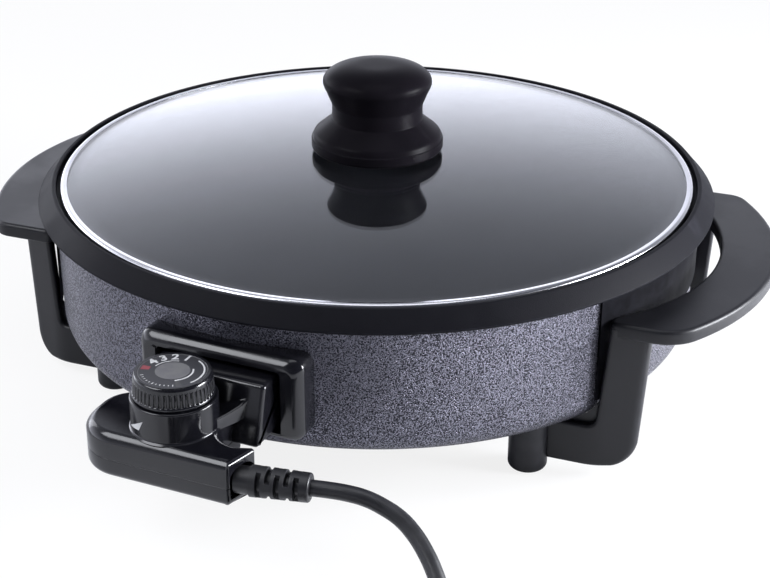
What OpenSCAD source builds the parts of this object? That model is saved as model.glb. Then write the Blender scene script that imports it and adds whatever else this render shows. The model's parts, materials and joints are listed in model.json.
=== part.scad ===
// Electric pizza pan: a round non-stick pan in a hammer-finish shell, with two grip-and-leg
// mouldings, a lift-off glass lid and a plug-in thermostat with its mains lead.
// Millimetres, +Z up. The origin is on the table, in the middle of the appliance's own box.
// Every module works in the pan's frame, with the pan's axis at x = y = 0, and at_pan() moves it.

/* [Pan] */
// Outer diameter of the pan's rim
rim_d = 385; // [345:1:420]
// Height of the rim's band
rim_h = 10.6; // [8:0.2:14]
// How far the rim's face leans out from its top edge to its lower edge
rim_flare = 9; // [4:0.5:10]
// Thickness of the rim's top edge
crest_t = 1.5; // [1:0.5:4]
// Depth of the lid's seat below the rim's top edge
seat_depth = 4.2; // [3:0.2:6]
// Depth of the cooking floor below the rim's top edge
cook_depth = 39.2; // [34:0.2:44]
// Thickness of the pan's wall
pan_wall = 3; // [2:0.5:5]
// Thickness of the pan's floor
floor_t = 6; // [5:0.5:8]
// Radius of the inside corner between wall and floor
pan_corner_r = 25; // [15:1:30]

/* [Shell] */
// Height of the outer shell, from its underside to the rim
shell_h = 73.5; // [68:0.5:100]
// Thickness of the shell's sheet metal
shell_t = 1.2; // [0.8:0.1:2]
// Air gap between the pan's wall and the shell
shell_gap = 3.8; // [1.5:0.1:5]
// Radius that the shell loses between its rim and its lower edge
shell_draft = 0.5; // [0:0.5:6]
// Radius of the shell's lower edge
shell_edge_r = 12; // [8:1:30]

/* [Lid] */
// Play between the lid's edge and the rim's upstand
lid_play = 2; // [1:0.5:6]
// How far the lid's edge laps onto its seat
lid_lap = 5; // [3:0.5:8]
// Height of the glass dome above the lid's edge
dome_h = 12; // [8:1:24]
// Thickness of the glass
glass_t = 3; // [2.5:0.5:5]
// Thickness of the lid's steel band
band_t = 0.6; // [0.4:0.1:1]
// Width of the band on the glass
band_w = 4; // [3:0.5:5]
// Diameter of the knob's flange
knob_flange_d = 75; // [64:1:90]
// Diameter of the knob's waist
knob_neck_d = 51.2; // [40:0.2:54]
// Diameter of the knob's cap
knob_cap_d = 61.5; // [58:0.5:70]
// Height of the knob
knob_h = 48.2; // [42:0.2:56]
// Height of the flange's upright lip
knob_lip = 4; // [3:0.5:8]
// Height of the waist's upright part
knob_waist_h = 8; // [5:0.5:12]

/* [Grips and legs] */
// Clearance under the shell
foot_h = 32.5; // [24:0.5:40]
// Diameter of a foot post
foot_d = 21; // [18:1:24]
// Distance of the foot posts' circle inside the shell's radius
foot_inset = 25.5; // [18:0.5:30]
// Turn of the grips about the pan's axis, from square to the socket
grip_turn = 3; // [0:0.5:5]
// Thickness of the grip bar
grip_t = 8; // [6:0.5:12]
// Width of the grip bar
grip_w = 29; // [24:1:36]
// Slot between the rim and the grip
grip_gap = 6; // [4:0.5:12]
// Half the length of the grip
grip_half = 96; // [92:1:104]
// Radius of the grip's inner edge
grip_bow_r = 122; // [110:1:140]
// Drop from the rim's top edge to the grip's top
grip_drop = 26.2; // [24:0.2:32]
// Corner radius of the grip's outer ends
grip_corner_r = 12; // [6:1:16]
// Thickness of the leg plates
leg_t = 7; // [5:0.5:9]
// Width of a leg's upright limb
leg_w = 21; // [16:1:24]
// Turn of the upright limb from the grips' axis
leg_turn = 22; // [15:1:25]
// Distance that the upright limb leans in on its way down
leg_lean = 5; // [2:0.5:7]
// Clearance under the leg plates
leg_clear = 6.5; // [5:0.5:14]
// Height of the leg's lower limb
leg_shelf = 24; // [18:1:26]

/* [Socket] */
// Width of the socket shroud
shroud_w = 91; // [88:1:96]
// Height of the socket shroud
shroud_h = 46; // [44:1:48]
// How far the shroud's face stands out from the shell
shroud_out = 10; // [9:0.5:14]
// Corner radius of the shroud's front face
shroud_r = 6; // [4:0.5:8]
// Distance between the two terminal pins
pin_pitch = 26; // [24:1:30]
// Diameter of a terminal pin
pin_d = 6; // [4:0.5:6]
// Radius of the heating element's ring
element_r = 105; // [90:1:112]
// Diameter of the heating element's tube
element_d = 7; // [6:0.5:8]

/* [Thermostat] */
// Width of the plug-in neck
neck_w = 64; // [58:1:66]
// Height of the plug-in neck
neck_h = 30; // [28:1:31]
// Gap between the shroud's face and the thermostat's body
body_gap = 10; // [8:0.5:12]
// Depth of the thermostat's body, front to back
body_depth = 47; // [46:1:54]
// Distance from the pan's axis plane to the body's left end
body_left = 50; // [48:1:60]
// Distance from the pan's axis plane to the body's right end
body_right = 36.5; // [35:0.5:42]
// Height of the thermostat's body
body_h = 23.5; // [22:0.5:27]
// Height of the lower half of the body
body_low = 10; // [8:0.5:11]
// Wall thickness of the thermostat's halves
body_wall = 2.2; // [1.6:0.2:2.6]
// Diameter of the dial
dial_d = 40; // [36:0.5:41]
// Height of the dial
dial_h = 12; // [10:0.5:16]
// Height of the collar under the dial
collar_h = 16; // [13:0.5:18]
// Offset of the dial to the left of the pan's axis plane
dial_left = 4.7; // [2:0.1:8]
// Diameter of the probe
probe_d = 6.4; // [5:0.2:6.6]
// Length of the probe past the neck
probe_len = 58; // [50:1:58]

/* [Mains lead] */
// Diameter of the cord
cord_d = 8; // [6:0.5:9]
// Length of the strain relief outside the body
relief_len = 33; // [20:1:45]
// Diameter of the strain relief
relief_d = 15.5; // [12:0.5:17]
// Radius of the coil's innermost turn
coil_in_r = 34.5; // [33:0.5:38]
// Gap between neighbouring turns of the coil
coil_gap = 0.6; // [0.5:0.1:1.5]
// Diameter of the mains plug's body
plug_d = 40; // [36:1:42]
// Thickness of the mains plug's body
plug_t = 26; // [24:1:30]

/* [Hidden] */
$fn = 96;

// Clearances
touch = 0.05;      // between flat faces that rest on each other
snug = 0.1;        // between pieces of one body
free = 0.4;        // between pieces that slide past each other
run = 0.05;        // radial running clearance of the dial's spindle
elbow = 0.4;       // extra radius of the heating element's two elbows

// Heights
z_rim = foot_h + shell_h;
z_top = z_rim + rim_h;
z_seat = z_top - seat_depth;
z_cook = z_top - cook_depth;
z_under = z_cook - floor_t;
z_contact = z_under - element_d / 2 - elbow - snug;

// Radii of the pan and shell
r_rim = rim_d / 2;
r_crest = r_rim - rim_flare;
r_up = r_crest - crest_t;
r_lid = r_up - lid_play;
r_in = r_lid - lid_lap;
r_out = r_in + pan_wall;
r_shell = r_out + shell_gap + shell_t;
r_flat = r_shell - shell_draft - shell_edge_r;

// Distances out from the pan's axis, towards the front
shroud_front = r_shell + shroud_out;
body_back = shroud_front + body_gap;
body_front = body_back + body_depth;
pocket_floor = r_shell - 6;
pocket_back = pocket_floor - 2.5;
neck_tip = pocket_floor + 1;
neck_front = body_back + 0.5;
neck_foot = neck_front + 8.5;
pan_y = (body_front - r_rim) / 2;

// The thermostat's levels
neck_bottom = z_contact - neck_h / 2;
neck_top = neck_bottom + neck_h;
body_bottom = neck_bottom - body_low;
body_top = body_bottom + body_h;
collar_r = dial_d / 2 + 1.3;
collar_top = body_top + collar_h;
dial_bottom = collar_top + free;
dial_top = dial_bottom + dial_h;
dial_y = -(body_front - collar_r - 2.7);
spindle_r = 3;
plate_r = dial_d / 2 - 2.5;
plate_t = 0.8;
tongue_back = body_front - 19;
tongue_lean = 5;
housing_screw_r = 1.3;
housing_screw_len = body_low + 4;
housing_head_r = 2.5;
housing_head_h = 1.8;
housing_boss_r = 3.2;
housing_recess = 3;
housing_screw_at = [
    [-(body_left - 13), -(body_back + 12)],
    [-(body_left - 15), -(body_front - 13)],
    [body_right - 12, -(body_front - 8)]
];

// The lid's levels
z_band = z_seat + touch;
z_glass = z_band + band_t + touch;
band_h = glass_t + 2 * (band_t + touch);
r_dome = r_lid - band_w - 2;
dome_r = (r_dome * r_dome + dome_h * dome_h) / (2 * dome_h);
z_apex = z_glass + glass_t + dome_h;
gasket_t = 1.6;
z_knob = z_apex + gasket_t + 2 * touch;
knob_screw_r = 2.4;
washer_t = 1.4;
washer_r = 10;

// The grips and legs, on the right-hand side
z_grip = z_top - grip_drop;
grip_x = r_rim + grip_gap - grip_bow_r;
grip_out_r = grip_bow_r + grip_w;
leg_y = grip_half - 9;
leg_x = grip_x + sqrt(grip_out_r * grip_out_r - leg_y * leg_y) - 17;
leg_corner_r = 14.5;
leg_step = 0.4;
limb_end = leg_x - (leg_w + leg_lean) * cos(leg_turn);
limb_y = leg_y + (leg_w + leg_lean) * sin(leg_turn);

// The foot posts, in line with the legs' lower limbs, and their screws
foot_r = r_shell - foot_inset;
foot_a = asin(limb_y / foot_r);
foot_at = foot_r * [cos(foot_a), -sin(foot_a)];
feet = [
    for (a = [foot_a, 180 - foot_a, 180 + foot_a, -foot_a])
        foot_r * [cos(a + grip_turn), sin(a + grip_turn)]
];
foot_screw_r = 2;
foot_screw_len = 38;
foot_head_r = 4;
foot_head_h = 3;
foot_recess = 12;

// The mains lead: the relief's axis, the route of the free stretch and the coil
relief_a = 11.5;
relief_r = relief_d / 2;
cord_r = cord_d / 2;
relief_z = body_bottom + 11;
relief_root = [body_right + tongue_lean / 2, -(body_front + tongue_back) / 2, relief_z];
relief_dir = [cos(relief_a), sin(relief_a), 0];
relief_tip = relief_root + relief_len * relief_dir;
tie_t = 0.7;
coil_z = cord_r + tie_t + snug;
coil_pitch = cord_d + coil_gap;
coil_half = 1.625;
coil_out_r = coil_in_r + coil_half * coil_pitch;
coil_at = [104, -305];
coil_lead = cord_d;
coil_tail = 14;
loop_rings = 24;
coil_sides = 6;
cord_sides = 10;
cord_route = concat(
    [relief_tip, relief_tip + cord_d * relief_dir],
    [
        [88.5, -230.9, 53.2], [97.2, -229.7, 52], [105.6, -229.3, 49.5], [114.2, -229.8, 46],
        [122.3, -232.4, 41.5], [129.6, -236.5, 36.5], [136.3, -241.7, 31], [142.2, -247.9, 25.5],
        [146.6, -255.2, 20.5], [149.5, -263, 15.5], [150.7, -271.5, 11.5], [151.3, -279.5, 8],
        [151.9, -287, 5.8]
    ],
    [[coil_at.x + coil_out_r, coil_at.y + coil_lead, coil_z]]
);
plug_neck_len = 22;
plug_x = coil_at.x - coil_tail - plug_neck_len - plug_d / 2 + 1;
plug_y = coil_at.y - coil_out_r;
plug_z = coil_z + coil_pitch;
plug_pin_r = 2.4;
plug_pin_len = 19;
plug_pin_gap = 19;

// Helpers

// Points of an arc about c
function arc(c, r, from, to, n = 8) =
    [for (i = [0:n]) let (a = from + (to - from) * i / n) [c.x + r * cos(a), c.y + r * sin(a)]];

// The shell's outside, grown by e, as a half section up to the height top
function shell_outline(e, top) = concat(
    [[0, foot_h - e]],
    arc([r_flat, foot_h + shell_edge_r], shell_edge_r + e, -90, 0),
    [[r_shell + e, z_rim], [r_shell + e, top], [0, top]]
);

// Radius of the shell's outside at a height above its rounded edge
function shell_radius(z) = r_shell - shell_draft * (z_rim - z) / (z_rim - foot_h - shell_edge_r);

// Moves a piece from the pan's frame to the part's frame
module at_pan() {
    translate([0, pan_y, 0]) children();
}

// Moves a piece from the grips' frame to the part's frame
module at_grips() {
    at_pan() rotate(grip_turn) children();
}

// A rod along Y, from y0 back to y1
module rod_y(x, y0, y1, z, r) {
    translate([x, y1, z]) rotate([90, 0, 0]) cylinder(r = r, h = y1 - y0);
}

// A flat shape, drawn in X and Z, that runs from y0 back to y1
module slab_y(y0, y1) {
    translate([0, y1, 0]) rotate([90, 0, 0]) linear_extrude(y1 - y0) children();
}

// A flat shape, drawn in Y and Z, that runs from x0 to x1
module slab_x(x0, x1) {
    translate([x0, 0, 0]) rotate([90, 0, 90]) linear_extrude(x1 - x0) children();
}

// A rectangle with round corners, w by h about the origin
module round_rect(w, h, r) {
    square([w - 2 * r, h], center = true);
    square([w, h - 2 * r], center = true);
    for (x = [-1, 1], z = [-1, 1]) translate([x * (w / 2 - r), z * (h / 2 - r)]) circle(r);
}

// A ring about the Z axis
module ring(r_outer, r_inner, h) {
    difference() {
        cylinder(r = r_outer, h = h);
        translate([0, 0, -1]) cylinder(r = r_inner, h = h + 2);
    }
}

// The room that the shell takes, grown by e
module shell_solid(e, top = z_rim + 1) {
    rotate_extrude() polygon(shell_outline(e, top));
}

// A screw on the Z axis with its head's underside at z = 0 and its shank upwards
module screw(shank_r, shank_len, head_r, head_h) {
    cylinder(r = shank_r, h = shank_len);
    difference() {
        translate([0, 0, -head_h]) cylinder(r = head_r, h = head_h);
        for (a = [0, 90]) {
            translate([0, 0, -head_h]) rotate(a) cube([head_r * 1.2, head_r * 0.3, head_h], center = true);
        }
    }
}

// A tube swept along points, square to its route, with n sides
function unit(v) = v / norm(v);
function heading(p, i) = unit(p[min(i + 1, len(p) - 1)] - p[max(i - 1, 0)]);
function swept(p, r, n, ends) = [
    for (i = [0:len(p) - 1])
        let (
            t = i == 0 ? ends[0] : i == len(p) - 1 ? ends[1] : heading(p, i),
            side = unit(cross(t, [0, 0, 1])),
            up = cross(side, t)
        )
        for (k = [0:n - 1])
            let (a = 360 * (k + 0.5) / n)
            p[i] + r * (cos(a) * side + sin(a) * up)
];
module tube(p, r, n, ends) {
    last = (len(p) - 1) * n;
    faces = concat(
        [for (k = [1:n - 2]) [0, k, k + 1]],
        [for (k = [1:n - 2]) [last, last + k + 1, last + k]],
        [
            for (i = [0:len(p) - 2], k = [0:n - 1], half = [0, 1])
                let (a = i * n + k, b = i * n + (k + 1) % n)
                half == 0 ? [a, a + n, b] : [b, a + n, b + n]
        ]
    );
    polyhedron(swept(p, r, n, ends), faces);
}

// The pan and its heater

corner_at = [r_in - pan_corner_r, z_cook + pan_corner_r];
pan_outside = concat(
    [[0, z_under], [r_in - pan_corner_r - 8, z_under]],
    arc(corner_at, pan_corner_r + pan_wall, -84, 0),
    [
        [r_out, z_rim], [r_rim - 1, z_rim], [r_rim, z_rim + 1.4],
        [r_crest + 0.8, z_top - 0.6], [r_crest, z_top], [0, z_top]
    ]
);
pan_inside = concat(
    [[0, z_cook]],
    arc(corner_at, pan_corner_r, -90, 0),
    [[r_in, z_seat], [r_up, z_seat], [r_up, z_top + 1], [0, z_top + 1]]
);
ridge_w = element_d + 6;
ridge_h = element_d / 2 + 2;
boss_r = 6;
probe_boss_back = -(neck_tip - probe_len + 12);

module inner_pan() {
    color("dimgray") at_pan() difference() {
        union() {
            rotate_extrude() polygon(pan_outside);
            // Bosses that take the foot screws, cut to the shell's inside
            intersection() {
                for (p = feet) {
                    translate([p.x, p.y, foot_h]) cylinder(r = boss_r, h = z_cook + 4 - foot_h);
                }
                shell_solid(-shell_t - snug);
            }
            // The ridge that holds the element, and the block that the probe slides into
            translate([0, 0, z_under - ridge_h]) {
                ring(element_r + ridge_w / 2, element_r - ridge_w / 2, ridge_h + 1);
            }
            translate([-probe_d / 2 - 3.5, -pocket_back + 20, z_contact - probe_d / 2 - 4]) {
                cube([
                    probe_d + 7,
                    probe_boss_back + pocket_back - 20,
                    z_under - z_contact + probe_d / 2 + 5
                ]);
            }
        }
        rotate_extrude() polygon(pan_inside);
        for (p = feet) {
            translate([p.x, p.y, foot_h]) cylinder(r = foot_screw_r + snug, h = z_under - foot_h - 8);
        }
        // The element's groove, open below, and the ways out for its two legs
        rotate_extrude() {
            translate([element_r, z_contact]) circle(element_d / 2 + snug);
            translate([element_r - element_d / 2 - snug, z_under - ridge_h - 1]) {
                square([element_d + 2 * snug, z_contact - z_under + ridge_h + 1]);
            }
        }
        for (x = [-1, 1]) {
            translate([x * pin_pitch / 2 - element_d / 2 - 1, -element_r - ridge_w, z_under - ridge_h - 1]) {
                cube([element_d + 2, 1.5 * ridge_w + 1, ridge_h + 1]);
            }
        }
        rod_y(0, -r_shell, probe_boss_back + 1, z_contact, probe_d / 2 + free);
    }
}

module outer_shell() {
    color("gray") at_pan() difference() {
        shell_solid(0, z_rim);
        shell_solid(-shell_t);
        for (p = feet) translate([p.x, p.y, 0]) cylinder(r = foot_screw_r + 0.3, h = z_rim);
        // The window for the socket's box
        translate([0, 0, z_contact]) slab_y(-r_shell - 5, -r_shell + 20) {
            square([box_w + 4 * snug, box_h + 4 * snug], center = true);
        }
        for (x = [-1, 1] * shroud_screw_x) {
            rod_y(x, -r_shell - 5, -r_shell + 20, z_contact, shroud_screw_r + snug);
        }
    }
}

sheath_end = -(pocket_back - 10);

module heating_element() {
    gap_a = asin(pin_pitch / 2 / element_r);
    leg_start = -element_r * cos(gap_a);
    color("dimgray") at_pan() {
        translate([0, 0, z_contact]) difference() {
            rotate_extrude() translate([element_r, 0]) circle(element_d / 2);
            translate([0, -element_r, 0]) cube([pin_pitch, element_r, 2 * element_d], center = true);
        }
        for (x = [-1, 1] * pin_pitch / 2) {
            translate([x, leg_start, z_contact]) sphere(element_d / 2 + elbow);
            rod_y(x, sheath_end, leg_start, z_contact, element_d / 2);
        }
    }
}

pin_tip = -(pocket_floor + 13);

module terminal_pins() {
    color("silver") at_pan() for (x = [-1, 1] * pin_pitch / 2) {
        rod_y(x, pin_tip, sheath_end, z_contact, pin_d / 2);
        translate([x, pin_tip, z_contact]) rotate([90, 0, 0]) {
            cylinder(r1 = pin_d / 2, r2 = pin_d / 2 - 1, h = 1);
        }
    }
}

module terminal_insulators() {
    color("white") at_pan() for (x = [-1, 1] * pin_pitch / 2) difference() {
        rod_y(x, -(pocket_back - snug), sheath_end, z_contact, pin_d / 2 + 1.8);
        rod_y(x, -pocket_floor, sheath_end + 1, z_contact, pin_d / 2 + snug);
    }
}

// The socket on the shell

pocket_w = neck_w + 4 * free;
pocket_h = neck_h + 4 * free;
box_w = pocket_w + 4.4;
box_h = pocket_h + 4.4;
shroud_z = z_contact + 1.6;
shroud_screw_x = shroud_w / 2 - 4.5;
shroud_screw_r = 1.75;
shroud_screw_len = 13;
shroud_head_r = 3.5;
shroud_head_h = 2.2;
shroud_head_out = shroud_screw_x + shroud_head_r;
shell_inside = shell_radius(z_contact - shroud_head_r) - shell_t;
shroud_head_y = snug - sqrt(pow(shell_inside, 2) - pow(shroud_head_out, 2));

module socket_shroud() {
    edge = 5;
    flare = 1.5;
    color([0.06, 0.06, 0.07]) at_pan() difference() {
        union() {
            difference() {
                translate([0, 0, shroud_z]) {
                    slab_y(-shroud_front + edge, -r_shell + 25) round_rect(shroud_w, shroud_h, shroud_r);
                    hull() {
                        slab_y(-shroud_front + edge, -shroud_front + edge + 1) {
                            round_rect(shroud_w, shroud_h, shroud_r);
                        }
                        slab_y(-shroud_front, -shroud_front + 1) {
                            round_rect(shroud_w - edge, shroud_h - edge, shroud_r);
                        }
                    }
                }
                shell_solid(snug);
            }
            // The box that passes through the shell's window
            translate([0, 0, z_contact]) slab_y(-r_shell - 3, -pocket_back) {
                square([box_w, box_h], center = true);
            }
        }
        translate([0, 0, z_contact]) {
            slab_y(-shroud_front - 1, -pocket_floor) square([pocket_w, pocket_h], center = true);
            hull() {
                slab_y(-shroud_front - 1, -shroud_front) {
                    square([pocket_w + 2 * flare, pocket_h + 2 * flare], center = true);
                }
                slab_y(-shroud_front - 1, -shroud_front + 5) square([pocket_w, pocket_h], center = true);
            }
        }
        for (x = [-1, 1] * pin_pitch / 2) rod_y(x, -shroud_front, 0, z_contact, pin_d / 2 + free);
        rod_y(0, -shroud_front, 0, z_contact, probe_d / 2 + 2 * free);
        for (x = [-1, 1] * shroud_screw_x) {
            rod_y(x, shroud_head_y - shroud_screw_len - 1, 0, z_contact, shroud_screw_r + snug);
        }
    }
}

module shroud_screws() {
    color("silver") at_pan() for (x = [-1, 1] * shroud_screw_x) {
        translate([x, shroud_head_y, z_contact]) rotate([90, 0, 0]) {
            screw(shroud_screw_r, shroud_screw_len, shroud_head_r, shroud_head_h);
        }
    }
}

// The grips, each with its two legs and foot posts

// A leg's upright limb, in distance along the plate and height
module leg_upright() {
    inner_r = 4;
    polygon(concat(
        [[0, z_grip - 2]],
        arc([-leg_lean - leg_corner_r, leg_clear + leg_corner_r], leg_corner_r, 0, -90),
        [[-leg_w - leg_lean - 8, leg_clear], [-leg_w - leg_lean - 8, leg_clear + leg_shelf]],
        arc([-leg_w - leg_lean - inner_r, leg_clear + leg_shelf + inner_r], inner_r, -90, 0, 4),
        [[-leg_w, z_grip - 2]]
    ));
}

// The grip's outline, cut clear of the shell
module grip_outline() {
    offset(r = grip_corner_r) offset(delta = -grip_corner_r) intersection() {
        translate([grip_x, 0]) difference() {
            circle(grip_out_r);
            circle(grip_bow_r);
        }
        translate([r_shell / 2, -grip_half]) square([r_rim, 2 * grip_half]);
        difference() {
            square(4 * r_rim, center = true);
            circle(r_shell + 2);
        }
    }
}

module half_leg() {
    translate([leg_x, -leg_y, 0]) rotate(leg_turn) slab_y(0, leg_t) leg_upright();
    translate([foot_at.x, -limb_y, leg_clear + leg_step]) {
        cube([limb_end - foot_at.x + 2, leg_t, leg_shelf - 2 * leg_step]);
    }
    translate([foot_at.x, foot_at.y, 1.5]) cylinder(r = foot_d / 2, h = foot_h + 8);
    translate([foot_at.x, foot_at.y, 0]) cylinder(r1 = foot_d / 2 - 1.5, r2 = foot_d / 2, h = 1.5);
}

module handle() {
    difference() {
        union() {
            translate([0, 0, z_grip - grip_t]) linear_extrude(grip_t) grip_outline();
            half_leg();
            mirror([0, 1, 0]) half_leg();
        }
        shell_solid(snug);
        for (y = [-1, 1]) translate([foot_at.x, y * foot_at.y, -1]) {
            cylinder(r = foot_screw_r + 0.3, h = z_rim);
            cylinder(r = foot_head_r + 0.5, h = foot_recess + 1);
        }
    }
}

module handle_right() {
    color([0.13, 0.13, 0.14]) at_grips() handle();
}

module handle_left() {
    color([0.13, 0.13, 0.14]) at_grips() mirror([1, 0, 0]) handle();
}

module foot_screws() {
    color("silver") at_pan() for (p = feet) {
        translate([p.x, p.y, foot_recess]) screw(foot_screw_r, foot_screw_len, foot_head_r, foot_head_h);
    }
}

// The lid

module lid_glass() {
    cap = asin(r_dome / dome_r);
    top = [0, z_apex - dome_r];
    hole_r = knob_screw_r + 1.6;
    edge_r = r_lid - band_t - touch;
    color([0.6, 0.65, 0.7, 0.4]) at_pan() rotate_extrude() difference() {
        polygon(concat(
            [[r_dome, z_glass], [edge_r, z_glass], [edge_r, z_glass + glass_t]],
            arc(top, dome_r, 90 - cap, 90, 16),
            arc(top, dome_r - glass_t, 90, 90 - cap, 16)
        ));
        translate([0, z_glass]) square([hole_r, 2 * dome_h]);
    }
}

module lid_band() {
    color("silver") at_pan() rotate_extrude() difference() {
        translate([r_lid - band_w, z_band]) square([band_w, band_h]);
        translate([r_lid - band_w - 1, z_band + band_t]) square([band_w - band_t + 1, band_h - 2 * band_t]);
    }
}

module lid_knob() {
    neck_r = knob_neck_d / 2;
    cap_r = knob_cap_d / 2;
    flange_r = knob_flange_d / 2;
    neck_z = knob_lip + flange_r - neck_r + 0.6;
    cap_z = knob_h - 9.3;
    cap_round = 9;
    color([0.07, 0.07, 0.08]) at_pan() translate([0, 0, z_knob]) difference() {
        rotate_extrude() polygon(concat(
            [[0, 0], [flange_r - 0.6, 0], [flange_r, 1], [flange_r, knob_lip]],
            [[flange_r - 1, knob_lip + 3.5], [neck_r, neck_z], [neck_r, neck_z + knob_waist_h]],
            [[cap_r - 2.6, cap_z - 6.6], [cap_r - 0.6, cap_z - 2.4]],
            arc([cap_r - cap_round, cap_z], cap_round, 0, 65, 6),
            [[cap_r / 2, knob_h - 0.3], [0, knob_h]]
        ));
        translate([0, 0, -1]) cylinder(r = knob_screw_r + snug, h = 24);
    }
}

module knob_gasket() {
    color("black") at_pan() translate([0, 0, z_apex + touch]) ring(12, knob_screw_r + snug, gasket_t);
}

module knob_washer() {
    color("silver") at_pan() translate([0, 0, z_apex - glass_t - washer_t - snug]) {
        ring(washer_r, knob_screw_r + snug, washer_t);
    }
}

module knob_screw() {
    z_head = z_apex - glass_t - washer_t - snug - touch;
    color("silver") at_pan() translate([0, 0, z_head]) {
        screw(knob_screw_r, z_knob + 20 - z_head, 5, 3);
    }
}

// The thermostat

// The body's outline from above: round left end, straight front and a tongue for the cord
module body_outline() {
    front_r = 22;
    back_r = 18;
    waist = 17.5;
    sweep_r = 8;
    polygon(concat(
        arc([-body_left + front_r, -body_front + front_r], front_r, 180, 270, 12),
        [[body_right, -body_front], [body_right + tongue_lean, -tongue_back]],
        arc([waist + sweep_r, -tongue_back + sweep_r], sweep_r, 270, 180),
        [[waist, -body_back]],
        arc([-body_left + back_r, -body_back - back_r], back_r, 90, 180, 10)
    ));
}

// The plug-in neck, with a front that leans back, shrunk by e
module neck_block(e) {
    slab_x(-neck_w / 2 + e, neck_w / 2 - e) polygon([
        [-neck_tip - e, neck_bottom + e], [-neck_tip - e, neck_top - e],
        [-neck_front + e, neck_top - e], [-neck_foot + e, neck_bottom + e]
    ]);
}

// The gusset that runs up from the collar's side to the neck's top
module gusset() {
    toe = [-dial_left + collar_r - 5, dial_y + 3, body_top - 1];
    hull() {
        translate(toe) cube([5, 1, 1.5]);
        translate([-dial_left, -neck_front, body_top - 1]) cube([neck_w / 2 - 2, 1, neck_top - body_top + 1]);
    }
}

module body_boss(p, z0, z1, r) {
    translate([p.x, p.y, z0]) cylinder(r = r, h = z1 - z0);
}

module upper_housing() {
    color([0.05, 0.05, 0.06]) at_pan() difference() {
        union() {
            difference() {
                union() {
                    translate([0, 0, neck_bottom]) {
                        linear_extrude(body_top - neck_bottom) body_outline();
                    }
                    translate([-dial_left, dial_y, body_top - 1]) cylinder(r = collar_r, h = collar_h + 1);
                    neck_block(0);
                    gusset();
                }
                translate([0, 0, neck_bottom - 1]) linear_extrude(body_top - neck_bottom + 1 - body_wall) {
                    offset(delta = -body_wall) body_outline();
                }
                translate([-dial_left, dial_y, body_top - body_wall - 1]) {
                    cylinder(r = collar_r - body_wall, h = collar_h);
                }
                neck_block(body_wall);
            }
            // The spindle's bearing and the screws' bosses
            translate([-dial_left, dial_y, collar_top - 9]) cylinder(r = spindle_r + 3, h = 9);
            for (p = housing_screw_at) body_boss(p, neck_bottom, body_top - 1, housing_boss_r);
        }
        translate([-dial_left, dial_y, body_bottom]) {
            cylinder(r = spindle_r + run, h = body_h + collar_h + 1);
        }
        for (p = housing_screw_at) body_boss(p, neck_bottom - 1, neck_bottom + 9, housing_screw_r + snug);
        for (x = [-1, 1] * pin_pitch / 2) {
            rod_y(x, -neck_tip - 6, -neck_tip + 1, z_contact, pin_d / 2 + free);
        }
        rod_y(0, -neck_tip - 6, -neck_tip + 1, z_contact, probe_d / 2 + snug);
        relief_seat();
    }
}

module lower_housing() {
    color([0.05, 0.05, 0.06]) at_pan() difference() {
        union() {
            difference() {
                translate([0, 0, body_bottom]) linear_extrude(body_low - touch) body_outline();
                translate([0, 0, body_bottom + body_wall]) linear_extrude(body_low) {
                    offset(delta = -body_wall) body_outline();
                }
            }
            for (p = housing_screw_at) body_boss(p, body_bottom, neck_bottom - touch, housing_boss_r);
        }
        for (p = housing_screw_at) {
            body_boss(p, body_bottom - 1, neck_bottom + 1, housing_screw_r + 0.2);
            body_boss(p, body_bottom - 1, body_bottom + housing_recess, housing_head_r + 0.3);
        }
        relief_seat();
    }
}

module housing_screws() {
    color("silver") at_pan() for (p = housing_screw_at) {
        translate([p.x, p.y, body_bottom + housing_recess]) {
            screw(housing_screw_r, housing_screw_len, housing_head_r, housing_head_h);
        }
    }
}

// The probe's tip is rounded, and its root stands in the bracket
bracket_y = -(neck_front - body_wall - 1);
probe_root = bracket_y + 1.6;

module probe_tube() {
    tip_y = -(neck_tip - probe_len);
    color("silver") at_pan() {
        rod_y(0, probe_root, tip_y, z_contact, probe_d / 2);
        translate([0, tip_y, z_contact]) sphere(probe_d / 2);
    }
}

module probe_bracket() {
    sill = block_z + block_h + snug;
    color("lightgray") at_pan() slab_y(bracket_y, probe_root - touch) {
        translate([-9, sill]) square([18, neck_top - body_wall - touch - sill]);
    }
}

module contact_sleeves() {
    back = -(neck_front - body_wall - 3);
    color("goldenrod") at_pan() for (x = [-1, 1] * pin_pitch / 2) difference() {
        rod_y(x, back, -(neck_tip + body_wall + snug), z_contact, pin_d / 2 + free + 1);
        rod_y(x, back + 3, 0, z_contact, pin_d / 2 + free);
    }
}

// The switch: a ceramic block on the neck's floor and two blades that run under the spindle
block_z = neck_bottom + body_wall + snug;
block_h = 8;
blade_levels = [2, 5];
blade_w = 6;
blade_t = 0.4;
blade_x = -dial_left - blade_w / 2;

module switch_block() {
    color("ivory") at_pan() difference() {
        translate([blade_x - 1.5, probe_root + 0.5, block_z]) cube([blade_w + 3, 8, block_h]);
        for (h = blade_levels) {
            translate([blade_x - snug, probe_root, block_z + h - snug]) {
                cube([blade_w + 2 * snug, 8 + snug, blade_t + 2 * snug]);
            }
        }
    }
}

module switch_blades() {
    color("goldenrod") at_pan() for (h = blade_levels) {
        translate([blade_x, dial_y - 4, block_z + h]) cube([blade_w, probe_root + 12 - dial_y, blade_t]);
    }
}

clamp_x = body_right - 7;

module cord_clamp() {
    color("lightgray") at_pan() translate([clamp_x, relief_root.y - 6, body_bottom + body_wall + touch]) {
        cube([3, 12, body_low]);
    }
}

// The round hole that the strain relief's root sits in
module relief_axis() {
    translate(relief_root) rotate([0, 0, relief_a]) rotate([0, 90, 0]) children();
}

module relief_seat() {
    relief_axis() translate([0, 0, -10]) cylinder(r = relief_r - 1 + snug, h = 30);
}

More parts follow.
